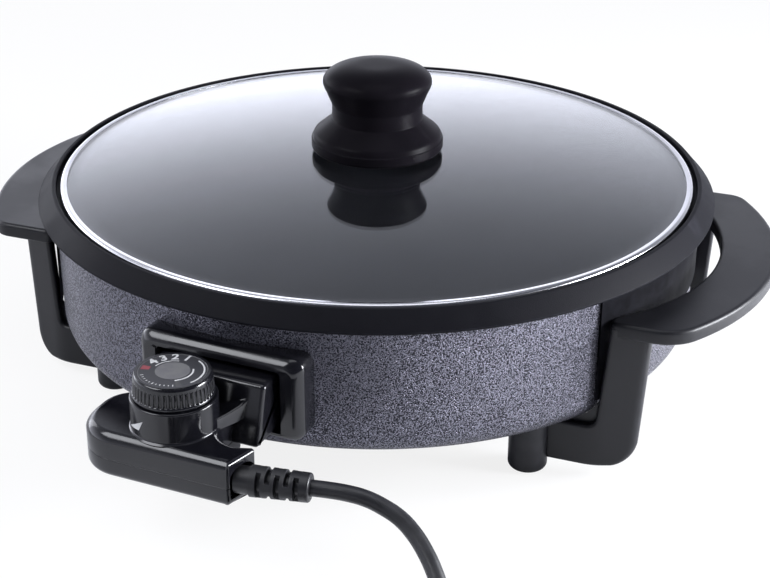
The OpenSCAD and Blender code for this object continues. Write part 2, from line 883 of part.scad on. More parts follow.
module strain_relief() {
    slots = 5;
    boot = 4.4;
    step = (relief_len - boot - 5) / slots;
    color([0.05, 0.05, 0.06]) at_pan() relief_axis() difference() {
        union() {
            translate([0, 0, boot]) cylinder(r1 = relief_r, r2 = relief_r - 0.7, h = relief_len - boot);
            translate([0, 0, -5]) cylinder(r = relief_r - 1, h = boot + 6);
        }
        // Slots on opposite sides, turned a quarter from one to the next
        for (i = [0:slots - 1]) rotate(90 * (i % 2)) {
            for (s = [-1, 1]) translate([s * relief_r, 0, boot + 2 + i * step + step / 4]) {
                cube([relief_d - cord_d - 1, relief_d, step / 2], center = true);
            }
        }
    }
}

// The dial, its printed plate and its spindle

module dial_knob() {
    ribs = 40;
    skirt = dial_h - 4;
    color([0.08, 0.08, 0.09]) at_pan() translate([-dial_left, dial_y, dial_bottom]) difference() {
        union() {
            cylinder(r = dial_d / 2, h = skirt);
            translate([0, 0, skirt]) cylinder(r1 = dial_d / 2 - 0.3, r2 = plate_r + 1, h = dial_h - skirt);
        }
        translate([0, 0, dial_h - plate_t - touch]) cylinder(r = plate_r + snug, h = 2);
        translate([0, 0, -1]) cylinder(r = spindle_r + snug, h = dial_h - 3);
        for (i = [0:ribs - 1]) rotate(360 * i / ribs) {
            translate([dial_d / 2 + 0.5, 0, 2]) cylinder(r = 1, h = skirt, $fn = 16);
        }
    }
}

module dial_plate() {
    color("dimgray") at_pan() translate([-dial_left, dial_y, dial_top - plate_t]) {
        cylinder(r = plate_r, h = plate_t);
    }
}

module dial_spindle() {
    spindle_end = block_z + blade_levels[1] + blade_t + free;
    color("silver") at_pan() translate([-dial_left, dial_y, spindle_end]) {
        cylinder(r = spindle_r, h = dial_top - 4.2 - spindle_end);
    }
}

// The mains lead

// The coil spirals in for coil_half turns and out again for as many, and climbs a layer in the
// half turn where it reverses
function coil_radius(t) = coil_in_r + abs(t - coil_half) * coil_pitch;
function coil_climb(t) = min(max(2 * (t - coil_half) + 0.5, 0), 1);
function coil_height(t) = coil_z + coil_pitch * (1 - cos(180 * coil_climb(t))) / 2;
coil_path = concat(
    [[coil_at.x + coil_out_r, coil_at.y + coil_lead, coil_z]],
    [
        for (i = [0:2 * coil_half * loop_rings])
            let (t = i / loop_rings)
            [
                coil_at.x + coil_radius(t) * cos(360 * t),
                coil_at.y - coil_radius(t) * sin(360 * t),
                coil_height(t)
            ]
    ],
    [[coil_at.x - coil_tail, plug_y, plug_z]]
);
coil_spacing = min([
    for (i = [0:len(coil_path) - 1], k = [0:len(coil_path) - 1])
        if (k - i > loop_rings / 2) norm(coil_path[k] - coil_path[i])
]);
echo(str("least gap of the coil to itself: ", coil_spacing - cord_d, " mm"));

module power_cord() {
    color("black") at_pan() tube(cord_route, cord_r, cord_sides, [relief_dir, [0, -1, 0]]);
}

module cord_coil() {
    color("black") at_pan() tube(coil_path, cord_r, coil_sides, [[0, -1, 0], [-1, 0, 0]]);
}

module coil_tie() {
    r0 = coil_in_r - cord_r - free;
    r1 = coil_out_r - coil_pitch / 2 + cord_r + free;
    top = coil_z + coil_pitch + cord_r + free;
    color("black") at_pan() translate([coil_at.x, coil_at.y, 0]) slab_y(-6, 6) difference() {
        translate([-r1 - tie_t, 0]) square([r1 - r0 + 2 * tie_t, top + tie_t]);
        translate([-r1, tie_t]) square([r1 - r0, top - tie_t]);
    }
}

// The plug lies on its back with its pins up, and the cord comes in at its side
module plug_body() {
    root_r = cord_r + 2;
    color("black") at_pan() difference() {
        union() {
            translate([plug_x, plug_y, 0]) {
                cylinder(r1 = plug_d / 2 - 2, r2 = plug_d / 2, h = 3);
                translate([0, 0, 3]) cylinder(r = plug_d / 2, h = plug_t - 3);
            }
            translate([coil_at.x - coil_tail, plug_y, plug_z]) rotate([0, -90, 0]) {
                cylinder(r1 = root_r, r2 = root_r + 3, h = plug_neck_len + 6);
            }
        }
        for (s = [-1, 1]) translate([plug_x, plug_y + s * plug_pin_gap / 2, plug_t - 10]) {
            cylinder(r = plug_pin_r + touch, h = 20);
        }
        for (s = [-1, 1]) translate([plug_x + s * (plug_d / 2 - 1), plug_y, plug_t - 4]) {
            cube([4, 6 + 2 * snug, 12 + 2 * snug], center = true);
        }
    }
}

module plug_pins() {
    color("silver") at_pan() for (s = [-1, 1]) {
        translate([plug_x, plug_y + s * plug_pin_gap / 2, plug_t - 10 + touch]) {
            cylinder(r = plug_pin_r, h = plug_pin_len + 9);
            translate([0, 0, plug_pin_len + 9]) cylinder(r1 = plug_pin_r, r2 = plug_pin_r - 1, h = 1);
        }
    }
}

module plug_earth_clips() {
    color("silver") at_pan() for (s = [-1, 1]) {
        translate([plug_x + s * (plug_d / 2 - 2), plug_y, plug_t - 5]) {
            cube([1.6, 6, 10], center = true);
        }
    }
}

inner_pan();
outer_shell();
heating_element();
terminal_pins();
terminal_insulators();
socket_shroud();
shroud_screws();
handle_right();
handle_left();
foot_screws();
lid_glass();
lid_band();
lid_knob();
knob_gasket();
knob_washer();
knob_screw();
upper_housing();
lower_housing();
housing_screws();
probe_tube();
probe_bracket();
contact_sleeves();
switch_block();
switch_blades();
cord_clamp();
strain_relief();
dial_knob();
dial_plate();
dial_spindle();
power_cord();
cord_coil();
coil_tie();
plug_body();
plug_pins();
plug_earth_clips();
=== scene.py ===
"""Electric pizza pan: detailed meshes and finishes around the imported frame. Metres, +Z up.

Every mesh is made in the pan's own frame, with the pan's axis at x = y = 0, and moved to its
place in the part's frame when it becomes an object.
"""

from __future__ import annotations

import json
import logging
import math
from dataclasses import dataclass, field
from enum import Enum
from typing import Callable, Sequence

import bmesh
import bpy
from mathutils import Matrix, Vector

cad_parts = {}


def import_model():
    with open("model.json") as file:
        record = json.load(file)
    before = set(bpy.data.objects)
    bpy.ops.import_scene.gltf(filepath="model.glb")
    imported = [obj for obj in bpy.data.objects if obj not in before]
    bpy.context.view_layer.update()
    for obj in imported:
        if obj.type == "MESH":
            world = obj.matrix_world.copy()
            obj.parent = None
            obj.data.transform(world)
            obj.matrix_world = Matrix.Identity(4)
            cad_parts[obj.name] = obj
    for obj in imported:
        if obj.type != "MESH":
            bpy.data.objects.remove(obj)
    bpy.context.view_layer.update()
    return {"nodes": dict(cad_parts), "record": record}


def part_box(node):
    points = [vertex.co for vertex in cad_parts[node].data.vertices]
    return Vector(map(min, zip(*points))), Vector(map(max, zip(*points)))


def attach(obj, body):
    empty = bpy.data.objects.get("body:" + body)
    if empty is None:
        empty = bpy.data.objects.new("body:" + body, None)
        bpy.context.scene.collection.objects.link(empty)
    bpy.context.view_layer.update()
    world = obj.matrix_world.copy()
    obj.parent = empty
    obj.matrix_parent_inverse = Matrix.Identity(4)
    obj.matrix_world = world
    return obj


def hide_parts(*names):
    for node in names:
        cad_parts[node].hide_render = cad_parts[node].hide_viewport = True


LOG = logging.getLogger("pizza_pan")

Colour = tuple[float, float, float]
Corner = tuple[float, float, float]
Socketed = bpy.types.NodeSocket
Outputs = bpy.types.bpy_prop_collection

WELD = 1e-6  # points nearer than this become one
SLIVER = 1e-7  # edges shorter than this are dissolved
UPRIGHT = Matrix.Rotation(math.pi / 2, 4, "X")
SIDEWAYS = Matrix(((0, 0, 1, 0), (1, 0, 0, 0), (0, 1, 0, 0), (0, 0, 0, 1)))


class Body(str, Enum):
    """The bodies that move on their own."""

    PAN = "pan"
    LID = "lid"
    THERMOSTAT = "thermostat"
    DIAL = "dial"


class Slot(str, Enum):
    """The record's material slots."""

    NONSTICK = "nonstick"
    HAMMERED = "hammered_paint"
    ELEMENT = "element_steel"
    NICKEL = "nickel"
    CERAMIC = "ceramic"
    GLOSS = "gloss_black"
    BAKELITE = "bakelite"
    ZINC = "zinc_steel"
    GLASS = "lid_glass"
    BAND = "band_steel"
    SILICONE = "silicone"
    PROBE = "probe_steel"
    BRASS = "brass"
    CABLE = "cable_rubber"
    PRINT = "dial_print"


class Side(Enum):
    """The side of the pan that a grip is on, as its turn about the pan's axis in degrees."""

    RIGHT = 0
    LEFT = 180


# Outlines


def about_z(degrees: float) -> Matrix:
    """A turn about the Z axis."""
    return Matrix.Rotation(math.radians(degrees), 4, "Z")


def polar(radius: float, angle: float, z: float = 0.0) -> Vector:
    """The point at that radius, angle in radians and height."""
    return Vector((radius * math.cos(angle), radius * math.sin(angle), z))


def clamp(value: float) -> float:
    """The value, kept between 0 and 1."""
    return min(1.0, max(0.0, value))


def rounded(corners: Sequence[Corner], closed: bool = True, step: float = 7.5) -> list[Vector]:
    """Draws a line through corners, each rounded by its own radius.

    Args:
        corners: x, y and radius of each corner.
        closed: whether the last corner joins the first.
        step: largest turn between neighbouring points of a round, in degrees.

    Returns:
        The points of the line.
    """
    points: list[Vector] = []
    count = len(corners)
    for i, (x, y, radius) in enumerate(corners):
        here = Vector((x, y))
        if radius <= 0 or (not closed and i in (0, count - 1)):
            points.append(here)
            continue
        back = (Vector(corners[i - 1][:2]) - here).normalized()
        ahead = (Vector(corners[(i + 1) % count][:2]) - here).normalized()
        opening = back.angle(ahead)
        reach = radius / math.tan(opening / 2)
        centre = here + (back + ahead).normalized() * (radius / math.sin(opening / 2))
        start = here + back * reach - centre
        sweep = math.pi - opening
        if back.x * ahead.y - back.y * ahead.x > 0:
            sweep = -sweep
        parts = max(1, math.ceil(abs(math.degrees(sweep)) / step))
        points += [centre + Matrix.Rotation(sweep * k / parts, 2) @ start for k in range(parts + 1)]
    return points


def bow(centre: Sequence[float], radius: float, start: float, end: float, count: int) -> list[Vector]:
    """Draws an arc.

    Args:
        centre: x and y of the arc's centre.
        radius: its radius.
        start: angle of its first point, in degrees.
        end: angle of its last point, in degrees.
        count: number of steps between them.

    Returns:
        count + 1 points.
    """
    angles = [math.radians(start + (end - start) * k / count) for k in range(count + 1)]
    return [Vector((centre[0] + radius * math.cos(a), centre[1] + radius * math.sin(a))) for a in angles]


def area(outline: Sequence[Vector]) -> float:
    """Signed area of a closed outline, positive where it runs anticlockwise."""
    pairs = zip(outline, list(outline[1:]) + [outline[0]])
    return sum(a.x * b.y - b.x * a.y for a, b in pairs) / 2


def inset(outline: Sequence[Vector], depth: float, widths: Sequence[float] | None = None) -> list[Vector]:
    """Moves a closed anticlockwise outline inwards.

    Args:
        outline: its points.
        depth: distance that each side moves in.
        widths: how many times that distance each point moves.

    Returns:
        As many points, moved.
    """
    moved = []
    for i, point in enumerate(outline):
        before = (point - outline[i - 1]).normalized()
        after = (outline[(i + 1) % len(outline)] - point).normalized()
        n0 = Vector((before.y, -before.x))
        n1 = Vector((after.y, -after.x))
        far = depth * (widths[i] if widths else 1.0)
        moved.append(point - (n0 + n1) * (far / (1 + n0.dot(n1))))
    return moved


# Meshes


def linked(name: str, data: bpy.types.ID) -> bpy.types.Object:
    """Makes an object and links it to the scene.

    Args:
        name: its name.
        data: its mesh, curve, lamp or camera.

    Returns:
        The object.
    """
    obj = bpy.data.objects.new(name, data)
    bpy.context.scene.collection.objects.link(obj)
    return obj


def shade(mesh: bpy.types.Mesh, crease: float) -> None:
    """Shades a mesh smooth, but for edges that turn by more than crease degrees."""
    mesh.shade_smooth()
    mesh.set_sharp_from_angle(angle=math.radians(crease))


def evaluated(obj: bpy.types.Object) -> bpy.types.Mesh:
    """A new mesh of the object as it stands, modifiers and all."""
    bpy.context.view_layer.update()
    graph = bpy.context.evaluated_depsgraph_get()
    return bpy.data.meshes.new_from_object(obj.evaluated_get(graph))


class MeshMaker:
    """Collects the faces of one piece, in the pan's frame."""

    def __init__(self, origin: Vector) -> None:
        """Starts empty, for an object whose pan axis stands at origin."""
        self.bm = bmesh.new()
        self.origin = origin

    def skin(
        self,
        loops: Sequence[Sequence[Vector]],
        place: Matrix | None = None,
        caps: bool = False,
        wrap: bool = False,
    ) -> None:
        """Joins closed loops of equal length with quads.

        Args:
            loops: the loops, in order.
            place: moves the points to their place.
            caps: whether the first and last loop are closed with a face.
            wrap: whether the last loop joins the first.
        """
        place = place or Matrix.Identity(4)
        rings = [[self.bm.verts.new(place @ Vector(p)) for p in loop] for loop in loops]
        pairs = list(zip(rings, rings[1:]))
        if wrap:
            pairs.append((rings[-1], rings[0]))
        for low, high in pairs:
            for i in range(len(low)):
                j = (i + 1) % len(low)
                self.bm.faces.new((low[i], low[j], high[j], high[i]))
        if caps:
            self.bm.faces.new(list(reversed(rings[0])))
            self.bm.faces.new(rings[-1])

    def lathe(
        self, profile: Sequence[Vector], turns: int, place: Matrix | None = None, wrap: bool = False
    ) -> None:
        """Turns a profile of radius and height about the Z axis.

        Args:
            profile: its points.
            turns: number of steps in a full turn.
            place: moves the points to their place.
            wrap: whether the profile is closed.
        """
        angles = [2 * math.pi * k / turns for k in range(turns)]
        self.skin([[polar(p.x, a, p.y) for a in angles] for p in profile], place, wrap=wrap)

    def prism(
        self,
        outline: Sequence[Vector],
        low: float,
        high: float,
        rounds: tuple[float, float],
        place: Matrix | None = None,
        steps: int = 5,
        swell: Callable[[Vector], tuple[float, float]] | None = None,
        power: float = 1.0,
    ) -> None:
        """Raises a closed outline along Z, with rounded edges.

        Args:
            outline: its points.
            low: height of its lower face.
            high: height of its upper face.
            rounds: radius of the lower and of the upper edge.
            place: moves the points to their place.
            steps: number of steps in each rounded edge.
            swell: how many times larger the lower and upper edge's radius is at a point of the outline.
            power: shape of the upper edge, round at 1 and flat at 2.
        """
        outline = list(outline)
        if area(outline) < 0:
            outline.reverse()
        under, over = zip(*[swell(p) if swell else (1.0, 1.0) for p in outline])
        seam = 0.0004
        turns = [math.pi / 2 * k / steps for k in range(steps + 1)]
        below = [(rounds[0] + seam, 0.0)]
        below += [(rounds[0] * (1 - math.sin(a)), rounds[0] * (1 - math.cos(a))) for a in turns]
        slant = [(max(math.cos(a), 0.0) ** power, math.sin(a) ** power) for a in turns]
        above = [(rounds[1] * (1 - c), rounds[1] * (1 - s)) for c, s in slant]
        above.append((rounds[1] + seam, 0.0))
        loops = []
        for levels, widths, start, sign in ((below, under, low, 1), (above, over, high, -1)):
            for d, z in levels:
                points = zip(inset(outline, d, widths), widths)
                loops.append([p.to_3d() + Vector((0, 0, start + sign * z * w)) for p, w in points])
        self.skin(loops, place, caps=True)

    def add(self, other: bmesh.types.BMesh) -> None:
        """Takes over the faces of another mesh and frees it."""
        mesh = bpy.data.meshes.new("part")
        other.to_mesh(mesh)
        other.free()
        self.bm.from_mesh(mesh)
        bpy.data.meshes.remove(mesh)

    def finish(self, name: str, crease: float = 32.0) -> bpy.types.Object:
        """Makes the object.

        Args:
            name: its name.
            crease: edges that turn by more than this, in degrees, stay sharp.

        Returns:
            The object, linked to the scene and at the origin.
        """
        bmesh.ops.remove_doubles(self.bm, verts=self.bm.verts, dist=WELD)
        bmesh.ops.dissolve_degenerate(self.bm, edges=self.bm.edges, dist=SLIVER)
        bmesh.ops.recalc_face_normals(self.bm, faces=self.bm.faces)
        bmesh.ops.translate(self.bm, verts=self.bm.verts, vec=self.origin)
        mesh = bpy.data.meshes.new(name)
        self.bm.to_mesh(mesh)
        self.bm.free()
        shade(mesh, crease)
        return linked(name, mesh)


def carve(obj: bpy.types.Object, cutter: bpy.types.Object, crease: float) -> None:
    """Cuts one object out of another and removes the cutter.

    Args:
        obj: the object that keeps the rest.
        cutter: the object that is cut out.
        crease: edges that turn by more than this, in degrees, stay sharp.
    """
    cut = obj.modifiers.new("cut", "BOOLEAN")
    cut.operation = "DIFFERENCE"
    cut.solver = "EXACT"
    cut.object = cutter
    mesh = evaluated(obj)
    obj.modifiers.clear()
    old = obj.data
    obj.data = mesh
    shade(mesh, crease)
    bpy.data.meshes.remove(old)
    bpy.data.objects.remove(cutter)


# Finishes


class Wiring:
    """Adds nodes to one shader tree and joins them."""

    def __init__(self, tree: bpy.types.NodeTree) -> None:
        """Works on that tree."""
        self.tree = tree

    @classmethod
    def afresh(cls, owner: bpy.types.Material | bpy.types.World) -> "Wiring":
        """Empties the shader tree of a material or a world, to be wired anew."""
        owner.use_nodes = True
        owner.node_tree.nodes.clear()
        return cls(owner.node_tree)

    def feed(self, node: bpy.types.Node, inputs: dict) -> None:
        """Sets or joins a node's inputs.

        Args:
            node: the node.
            inputs: a number, colour or socket for each named or numbered input.
        """
        for key, value in inputs.items():
            if isinstance(value, Socketed):
                self.tree.links.new(value, node.inputs[key])
            else:
                node.inputs[key].default_value = value

    def node(self, kind: str, inputs: dict | None = None, **settings: object) -> bpy.types.Node:
        """Adds a shader node.

        Args:
            kind: its type.
            inputs: what its inputs get, as for feed.
            settings: properties of the node.

        Returns:
            The node.
        """
        made = self.tree.nodes.new("ShaderNode" + kind)
        for key, value in settings.items():
            setattr(made, key, value)
        self.feed(made, inputs or {})
        return made

    def remap(self, value: Socketed, old: tuple[float, float], new: tuple[float, float]) -> Socketed:
        """Carries a value from one range to another, smoothly and within its ends.

        Args:
            value: the socket to carry over.
            old: its range.
            new: the range that it gets.

        Returns:
            The new value's socket.
        """
        inputs = {0: value, 1: old[0], 2: old[1], 3: new[0], 4: new[1]}
        return self.node("MapRange", inputs, interpolation_type="SMOOTHSTEP").outputs[0]

    def mix(self, amount: object, first: object, second: object) -> Socketed:
        """Mixes two colours by the second one's share, each given as a value or a socket."""
        return self.node("Mix", {0: amount, 6: first, 7: second}, data_type="RGBA").outputs[2]

    def multiply(self, first: object, second: object) -> Socketed:
        """Multiplies two values."""
        return self.node("Math", {0: first, 1: second}, operation="MULTIPLY").outputs[0]

    def place(self) -> Socketed:
        """The object's own coordinates."""
        return self.node("TexCoord").outputs["Object"]

    def noise(self, place: Socketed, scale: object, detail: float, **more: float) -> Socketed:
        """A noise texture's value; more holds its further inputs."""
        inputs = {"Vector": place, "Scale": scale, "Detail": detail}
        inputs.update({key.title(): value for key, value in more.items()})
        return self.node("TexNoise", inputs).outputs[0]

    def bump(self, strength: float, depth: float, height: Socketed) -> Socketed:
        """The surface's normal, bumped by a height."""
        return self.node("Bump", {"Strength": strength, "Distance": depth, "Height": height}).outputs[0]


def opaque(colour: Colour) -> tuple[float, float, float, float]:
    """The colour with full alpha."""
    return (*colour, 1.0)


def effect(
    name: str, inputs: dict[str, float], wire: Callable[[Wiring, Outputs], dict[str, Socketed]]
) -> bpy.types.NodeTree:
    """Makes a shader node group, once.

    Args:
        name: its name.
        inputs: its input values and their defaults.
        wire: adds its nodes, given its wiring and its input sockets, and returns what it puts out.

    Returns:
        The group.
    """
    found = bpy.data.node_groups.get(name)
    if found:
        return found
    group = bpy.data.node_groups.new(name, "ShaderNodeTree")
    for key, value in inputs.items():
        socket = group.interface.new_socket(name=key, in_out="INPUT", socket_type="NodeSocketFloat")
        socket.default_value = value
    made = wire(Wiring(group), group.nodes.new("NodeGroupInput").outputs)
    for key in made:
        group.interface.new_socket(name=key, in_out="OUTPUT", socket_type="NodeSocketFloat")
    Wiring(group).feed(group.nodes.new("NodeGroupOutput"), made)
    return group


def grain_nodes(w: Wiring, given: Outputs) -> dict[str, Socketed]:
    """Wires a moulded or coated surface's fine grain, broad patches and specks, in the object's own space.

    Args:
        w: the group's wiring.
        given: its input sockets.

    Returns:
        The group's outputs.
    """
    place = w.place()
    patches = w.noise(place, given["Patch Scale"], 4.0, roughness=0.55)
    specks = w.node("TexVoronoi", {"Vector": place, "Scale": w.multiply(given["Grain Scale"], 0.22)})
    return {
        "Grain": w.noise(place, given["Grain Scale"], 3.0, roughness=0.6),
        "Patches": w.remap(patches, (0.3, 0.7), (0.0, 1.0)),
        "Specks": w.remap(specks.outputs[0], (0.05, 0.2), (1.0, 0.0)),
    }


def rub_nodes(w: Wiring, given: Outputs) -> dict[str, Socketed]:
    """Wires a mask of the raised edges, broken up by noise, where handling polishes a surface.

    Args:
        w: the group's wiring.
        given: its input sockets.

    Returns:
        The group's outputs.
    """
    raised = w.remap(w.node("NewGeometry").outputs["Pointiness"], (0.505, 0.56), (0.0, 1.0))
    noise = w.noise(w.place(), given["Break Up Scale"], 3.0)
    return {"Mask": w.multiply(raised, w.remap(noise, (0.35, 0.65), (0.25, 1.0)))}


@dataclass(frozen=True)
class Finish:
    """A moulded, cast or plated surface with grain, patches, specks and rubbed edges."""

    name: str  # the material's name
    base: Colour  # main colour
    patch: Colour  # colour of the broad patches
    rub: Colour  # colour of rubbed edges
    roughness: tuple[float, float] = (0.4, 0.5)  # least and most over the patches
    metallic: float = 0.0  # metalness of the whole surface
    grain: float = 900.0  # scale of the fine grain
    patches: float = 18.0  # scale of the broad patches
    depth: float = 0.00003  # height of the fine grain
    speck: float = 0.0  # how far specks darken the surface
    specular: float = 0.5  # strength of the reflection

    def material(self) -> bpy.types.Material:
        """Makes the material, once.

        Returns:
            The material.
        """
        found = bpy.data.materials.get(self.name)
        if found:
            return found
        made = bpy.data.materials.new(self.name)
        w = Wiring.afresh(made)
        shader = w.node("BsdfPrincipled", {"Metallic": self.metallic, "Specular IOR Level": self.specular})
        w.node("OutputMaterial", {"Surface": shader.outputs[0]})
        group = effect("surface_grain", {"Grain Scale": 900.0, "Patch Scale": 18.0}, grain_nodes)
        scales = {"Grain Scale": self.grain, "Patch Scale": self.patches}
        w.feed(shader, self.surface(w, w.node("Group", scales, node_tree=group).outputs))
        return made

    def ground(self, w: Wiring, grain: Outputs) -> Socketed:
        """The main colour with its patches."""
        return w.mix(grain["Patches"], opaque(self.base), opaque(self.patch))

    def surface(self, w: Wiring, grain: Outputs) -> dict:
        """Wires what varies over the surface.

        Args:
            w: the material's wiring.
            grain: outputs of the grain effect.

        Returns:
            The shader's inputs.
        """
        rub = w.node("Group", node_tree=effect("edge_rub", {"Break Up Scale": 160.0}, rub_nodes))
        colour = self.ground(w, grain)
        if self.speck:
            colour = w.mix(w.multiply(grain["Specks"], self.speck), colour, (0.0, 0.0, 0.0, 1.0))
        return {
            "Base Color": w.mix(rub.outputs["Mask"], colour, opaque(self.rub)),
            "Roughness": w.remap(grain["Patches"], (0.0, 1.0), self.roughness),
            "Normal": w.bump(0.6, self.depth, grain["Grain"]),
        }


@dataclass(frozen=True)
class HammerFinish(Finish):
    """Hammer-finish enamel: a labyrinth of light veins over a dark ground."""

    vein_scale: float = 1450.0  # scale of the veins
    vein_depth: float = 0.0002  # height of the veins

    def surface(self, w: Wiring, grain: Outputs) -> dict:
        """Wires the veins and the patches between them.

        Args:
            w: the material's wiring.
            grain: outputs of the grain effect.

        Returns:
            The shader's inputs.
        """
        noise = w.noise(w.place(), self.vein_scale, 1.0, roughness=0.45, distortion=0.6)
        veins = w.remap(noise, (0.39, 0.61), (0.0, 1.0))
        return {
            "Base Color": w.mix(veins, self.ground(w, grain), opaque(self.rub)),
            "Roughness": w.remap(veins, (0.0, 1.0), self.roughness),
            "Normal": w.bump(0.8, self.vein_depth, veins),
        }


@dataclass(frozen=True)
class GlassFinish(Finish):
    """Clear toughened glass with a faint tint and a thin film of handling marks."""

    def surface(self, w: Wiring, grain: Outputs) -> dict:
        """Wires the tint and the film.

        Args:
            w: the material's wiring.
            grain: outputs of the grain effect.

        Returns:
            The shader's inputs.
        """
        rough = w.remap(grain["Patches"], (0.0, 1.0), self.roughness)
        tint = self.ground(w, grain)
        return {"Transmission Weight": 1.0, "IOR": 1.52, "Base Color": tint, "Roughness": rough}


@dataclass(frozen=True)
class TurnedFinish(Finish):
    """Bright metal with fine marks that run round the pan's axis."""

    axis_y: float = 0.02875  # Y of that axis in the part's frame

    def surface(self, w: Wiring, grain: Outputs) -> dict:
        """Wires the marks.

        Args:
            w: the material's wiring.
            grain: outputs of the grain effect.

        Returns:
            The shader's inputs.
        """
        apart = w.node("SeparateXYZ", {0: w.place()}).outputs
        flat = w.node("CombineXYZ", {0: apart[0], 1: apart[1]}).outputs[0]
        away = w.node("VectorMath", {0: flat, 1: (0.0, self.axis_y, 0.0)}, operation="DISTANCE")
        across = w.node("CombineXYZ", {0: away.outputs["Value"], 1: apart[2]}).outputs[0]
        lines = w.noise(across, self.grain, 2.0)
        return {
            "Base Color": self.ground(w, grain),
            "Roughness": w.remap(lines, (0.3, 0.7), self.roughness),
            "Normal": w.bump(0.4, self.depth, lines),
        }


FINISHES: dict[Slot, Finish] = {
    Slot.NONSTICK: Finish(
        "nonstick_coat", (0.0055, 0.0055, 0.0075), (0.008, 0.008, 0.0105), (0.013, 0.013, 0.017),
        (0.5, 0.6), grain=1500.0, depth=0.00016, speck=0.3, specular=0.06,
    ),
    Slot.HAMMERED: HammerFinish(
        "hammer_enamel", (0.014, 0.014, 0.019), (0.020, 0.020, 0.026), (0.185, 0.183, 0.222),
        (0.42, 0.27), metallic=0.9, patches=9.0,
    ),
    Slot.ELEMENT: Finish(
        "element_sheath", (0.20, 0.19, 0.18), (0.28, 0.27, 0.26), (0.4, 0.39, 0.38), (0.4, 0.6), 1.0, 700.0,
    ),
    Slot.NICKEL: Finish(
        "nickel_plate", (0.70, 0.68, 0.63), (0.62, 0.60, 0.56), (0.8, 0.78, 0.74), (0.18, 0.3), 1.0, 1200.0,
        depth=0.00001,
    ),
    Slot.CERAMIC: Finish(
        "white_ceramic", (0.74, 0.71, 0.64), (0.66, 0.62, 0.55), (0.8, 0.78, 0.72), (0.5, 0.7), speck=0.15,
    ),
    Slot.GLOSS: Finish(
        "gloss_moulding", (0.004, 0.004, 0.006), (0.006, 0.006, 0.008), (0.012, 0.012, 0.015),
        (0.12, 0.2), grain=420.0, patches=30.0, depth=0.000006,
    ),
    Slot.BAKELITE: Finish(
        "satin_bakelite", (0.0045, 0.0045, 0.006), (0.0065, 0.0065, 0.0085), (0.012, 0.012, 0.015),
        (0.34, 0.44), grain=1300.0, patches=22.0, depth=0.00003, speck=0.12, specular=0.29,
    ),
    Slot.ZINC: Finish(
        "zinc_plate", (0.60, 0.61, 0.62), (0.50, 0.52, 0.54), (0.7, 0.71, 0.72), (0.25, 0.42), 1.0, 800.0,
    ),
    Slot.GLASS: GlassFinish(
        "clear_glass", (0.90, 0.93, 0.95), (0.93, 0.95, 0.97), (1.0, 1.0, 1.0), (0.0, 0.015), patches=14.0,
    ),
    Slot.BAND: TurnedFinish(
        "polished_band", (0.72, 0.72, 0.74), (0.64, 0.64, 0.67), (0.9, 0.9, 0.9), (0.14, 0.24), 1.0, 1500.0,
        depth=0.000004,
    ),
    Slot.SILICONE: Finish(
        "silicone_ring", (0.03, 0.03, 0.03), (0.045, 0.045, 0.045), (0.07, 0.07, 0.07), (0.6, 0.75),
    ),
    Slot.PROBE: Finish(
        "probe_sheath", (0.52, 0.52, 0.52), (0.45, 0.44, 0.42), (0.65, 0.65, 0.65), (0.26, 0.4), 1.0, 1000.0,
    ),
    Slot.BRASS: Finish(
        "plain_brass", (0.62, 0.43, 0.15), (0.50, 0.33, 0.11), (0.75, 0.56, 0.26), (0.25, 0.42), 1.0, 900.0,
    ),
    Slot.CABLE: Finish(
        "cable_sheath", (0.007, 0.007, 0.009), (0.011, 0.011, 0.013), (0.02, 0.02, 0.024),
        (0.36, 0.5), grain=1100.0, patches=40.0, depth=0.00005, speck=0.15,
    ),
    Slot.PRINT: Finish(
        "plate_grey", (0.026, 0.026, 0.030), (0.034, 0.034, 0.038), (0.06, 0.06, 0.06), (0.3, 0.4),
        grain=1600.0, patches=60.0, depth=0.00001, specular=0.3,
    ),
}
KNOB_BAKELITE = Finish(
    "dark_bakelite", (0.005, 0.0045, 0.006), (0.007, 0.006, 0.008), (0.010, 0.009, 0.011), (0.28, 0.36),
    grain=1300.0, patches=22.0, depth=0.00002, specular=0.022,
)
# Near-black and almost unreflecting: painted shade, for the sheet on the shell behind the grips and legs.
SHADE_SHEET_BLACK = Finish(
    "painted_shade_black", (0.0022, 0.0022, 0.003), (0.003, 0.003, 0.004), (0.006, 0.006, 0.008), (0.6, 0.7),
    grain=1300.0, patches=22.0, specular=0.03,
)
GREY_PRINT = Finish(
    "grey_print", (0.098, 0.095, 0.105), (0.115, 0.112, 0.122), (0.13, 0.13, 0.13), (0.4, 0.5),
    patches=120.0, specular=0.3,
)
WHITE_PRINT = Finish(
    "white_print", (0.52, 0.52, 0.52), (0.46, 0.46, 0.46), (0.56, 0.56, 0.56), (0.45, 0.6), patches=300.0,
)
RED_PRINT = Finish(
    "red_print", (0.20, 0.030, 0.042), (0.17, 0.026, 0.036), (0.22, 0.04, 0.05), (0.45, 0.6), patches=300.0,
)


def dress(
    obj: bpy.types.Object, slot: Slot, body: Body, nodes: Sequence[str] = (), finish: Finish | None = None
) -> bpy.types.Object:
    """Gives a piece its finish, its body and the CAD nodes that it stands for.

    Args:
        obj: the piece.
        slot: the record's slot that it takes its finish from.
        body: the body that it moves with.
        nodes: the CAD nodes that it stands for.
        finish: a finish other than the slot's own.

    Returns:
        The piece.
    """
    obj.data.materials.clear()
    obj.data.materials.append((finish or FINISHES[slot]).material())
    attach(obj, body.value)
    if nodes:
        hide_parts(*nodes)
    LOG.info("%s on %s, for %s", obj.name, body.value, ", ".join(nodes) or "no node")
    return obj


# The object


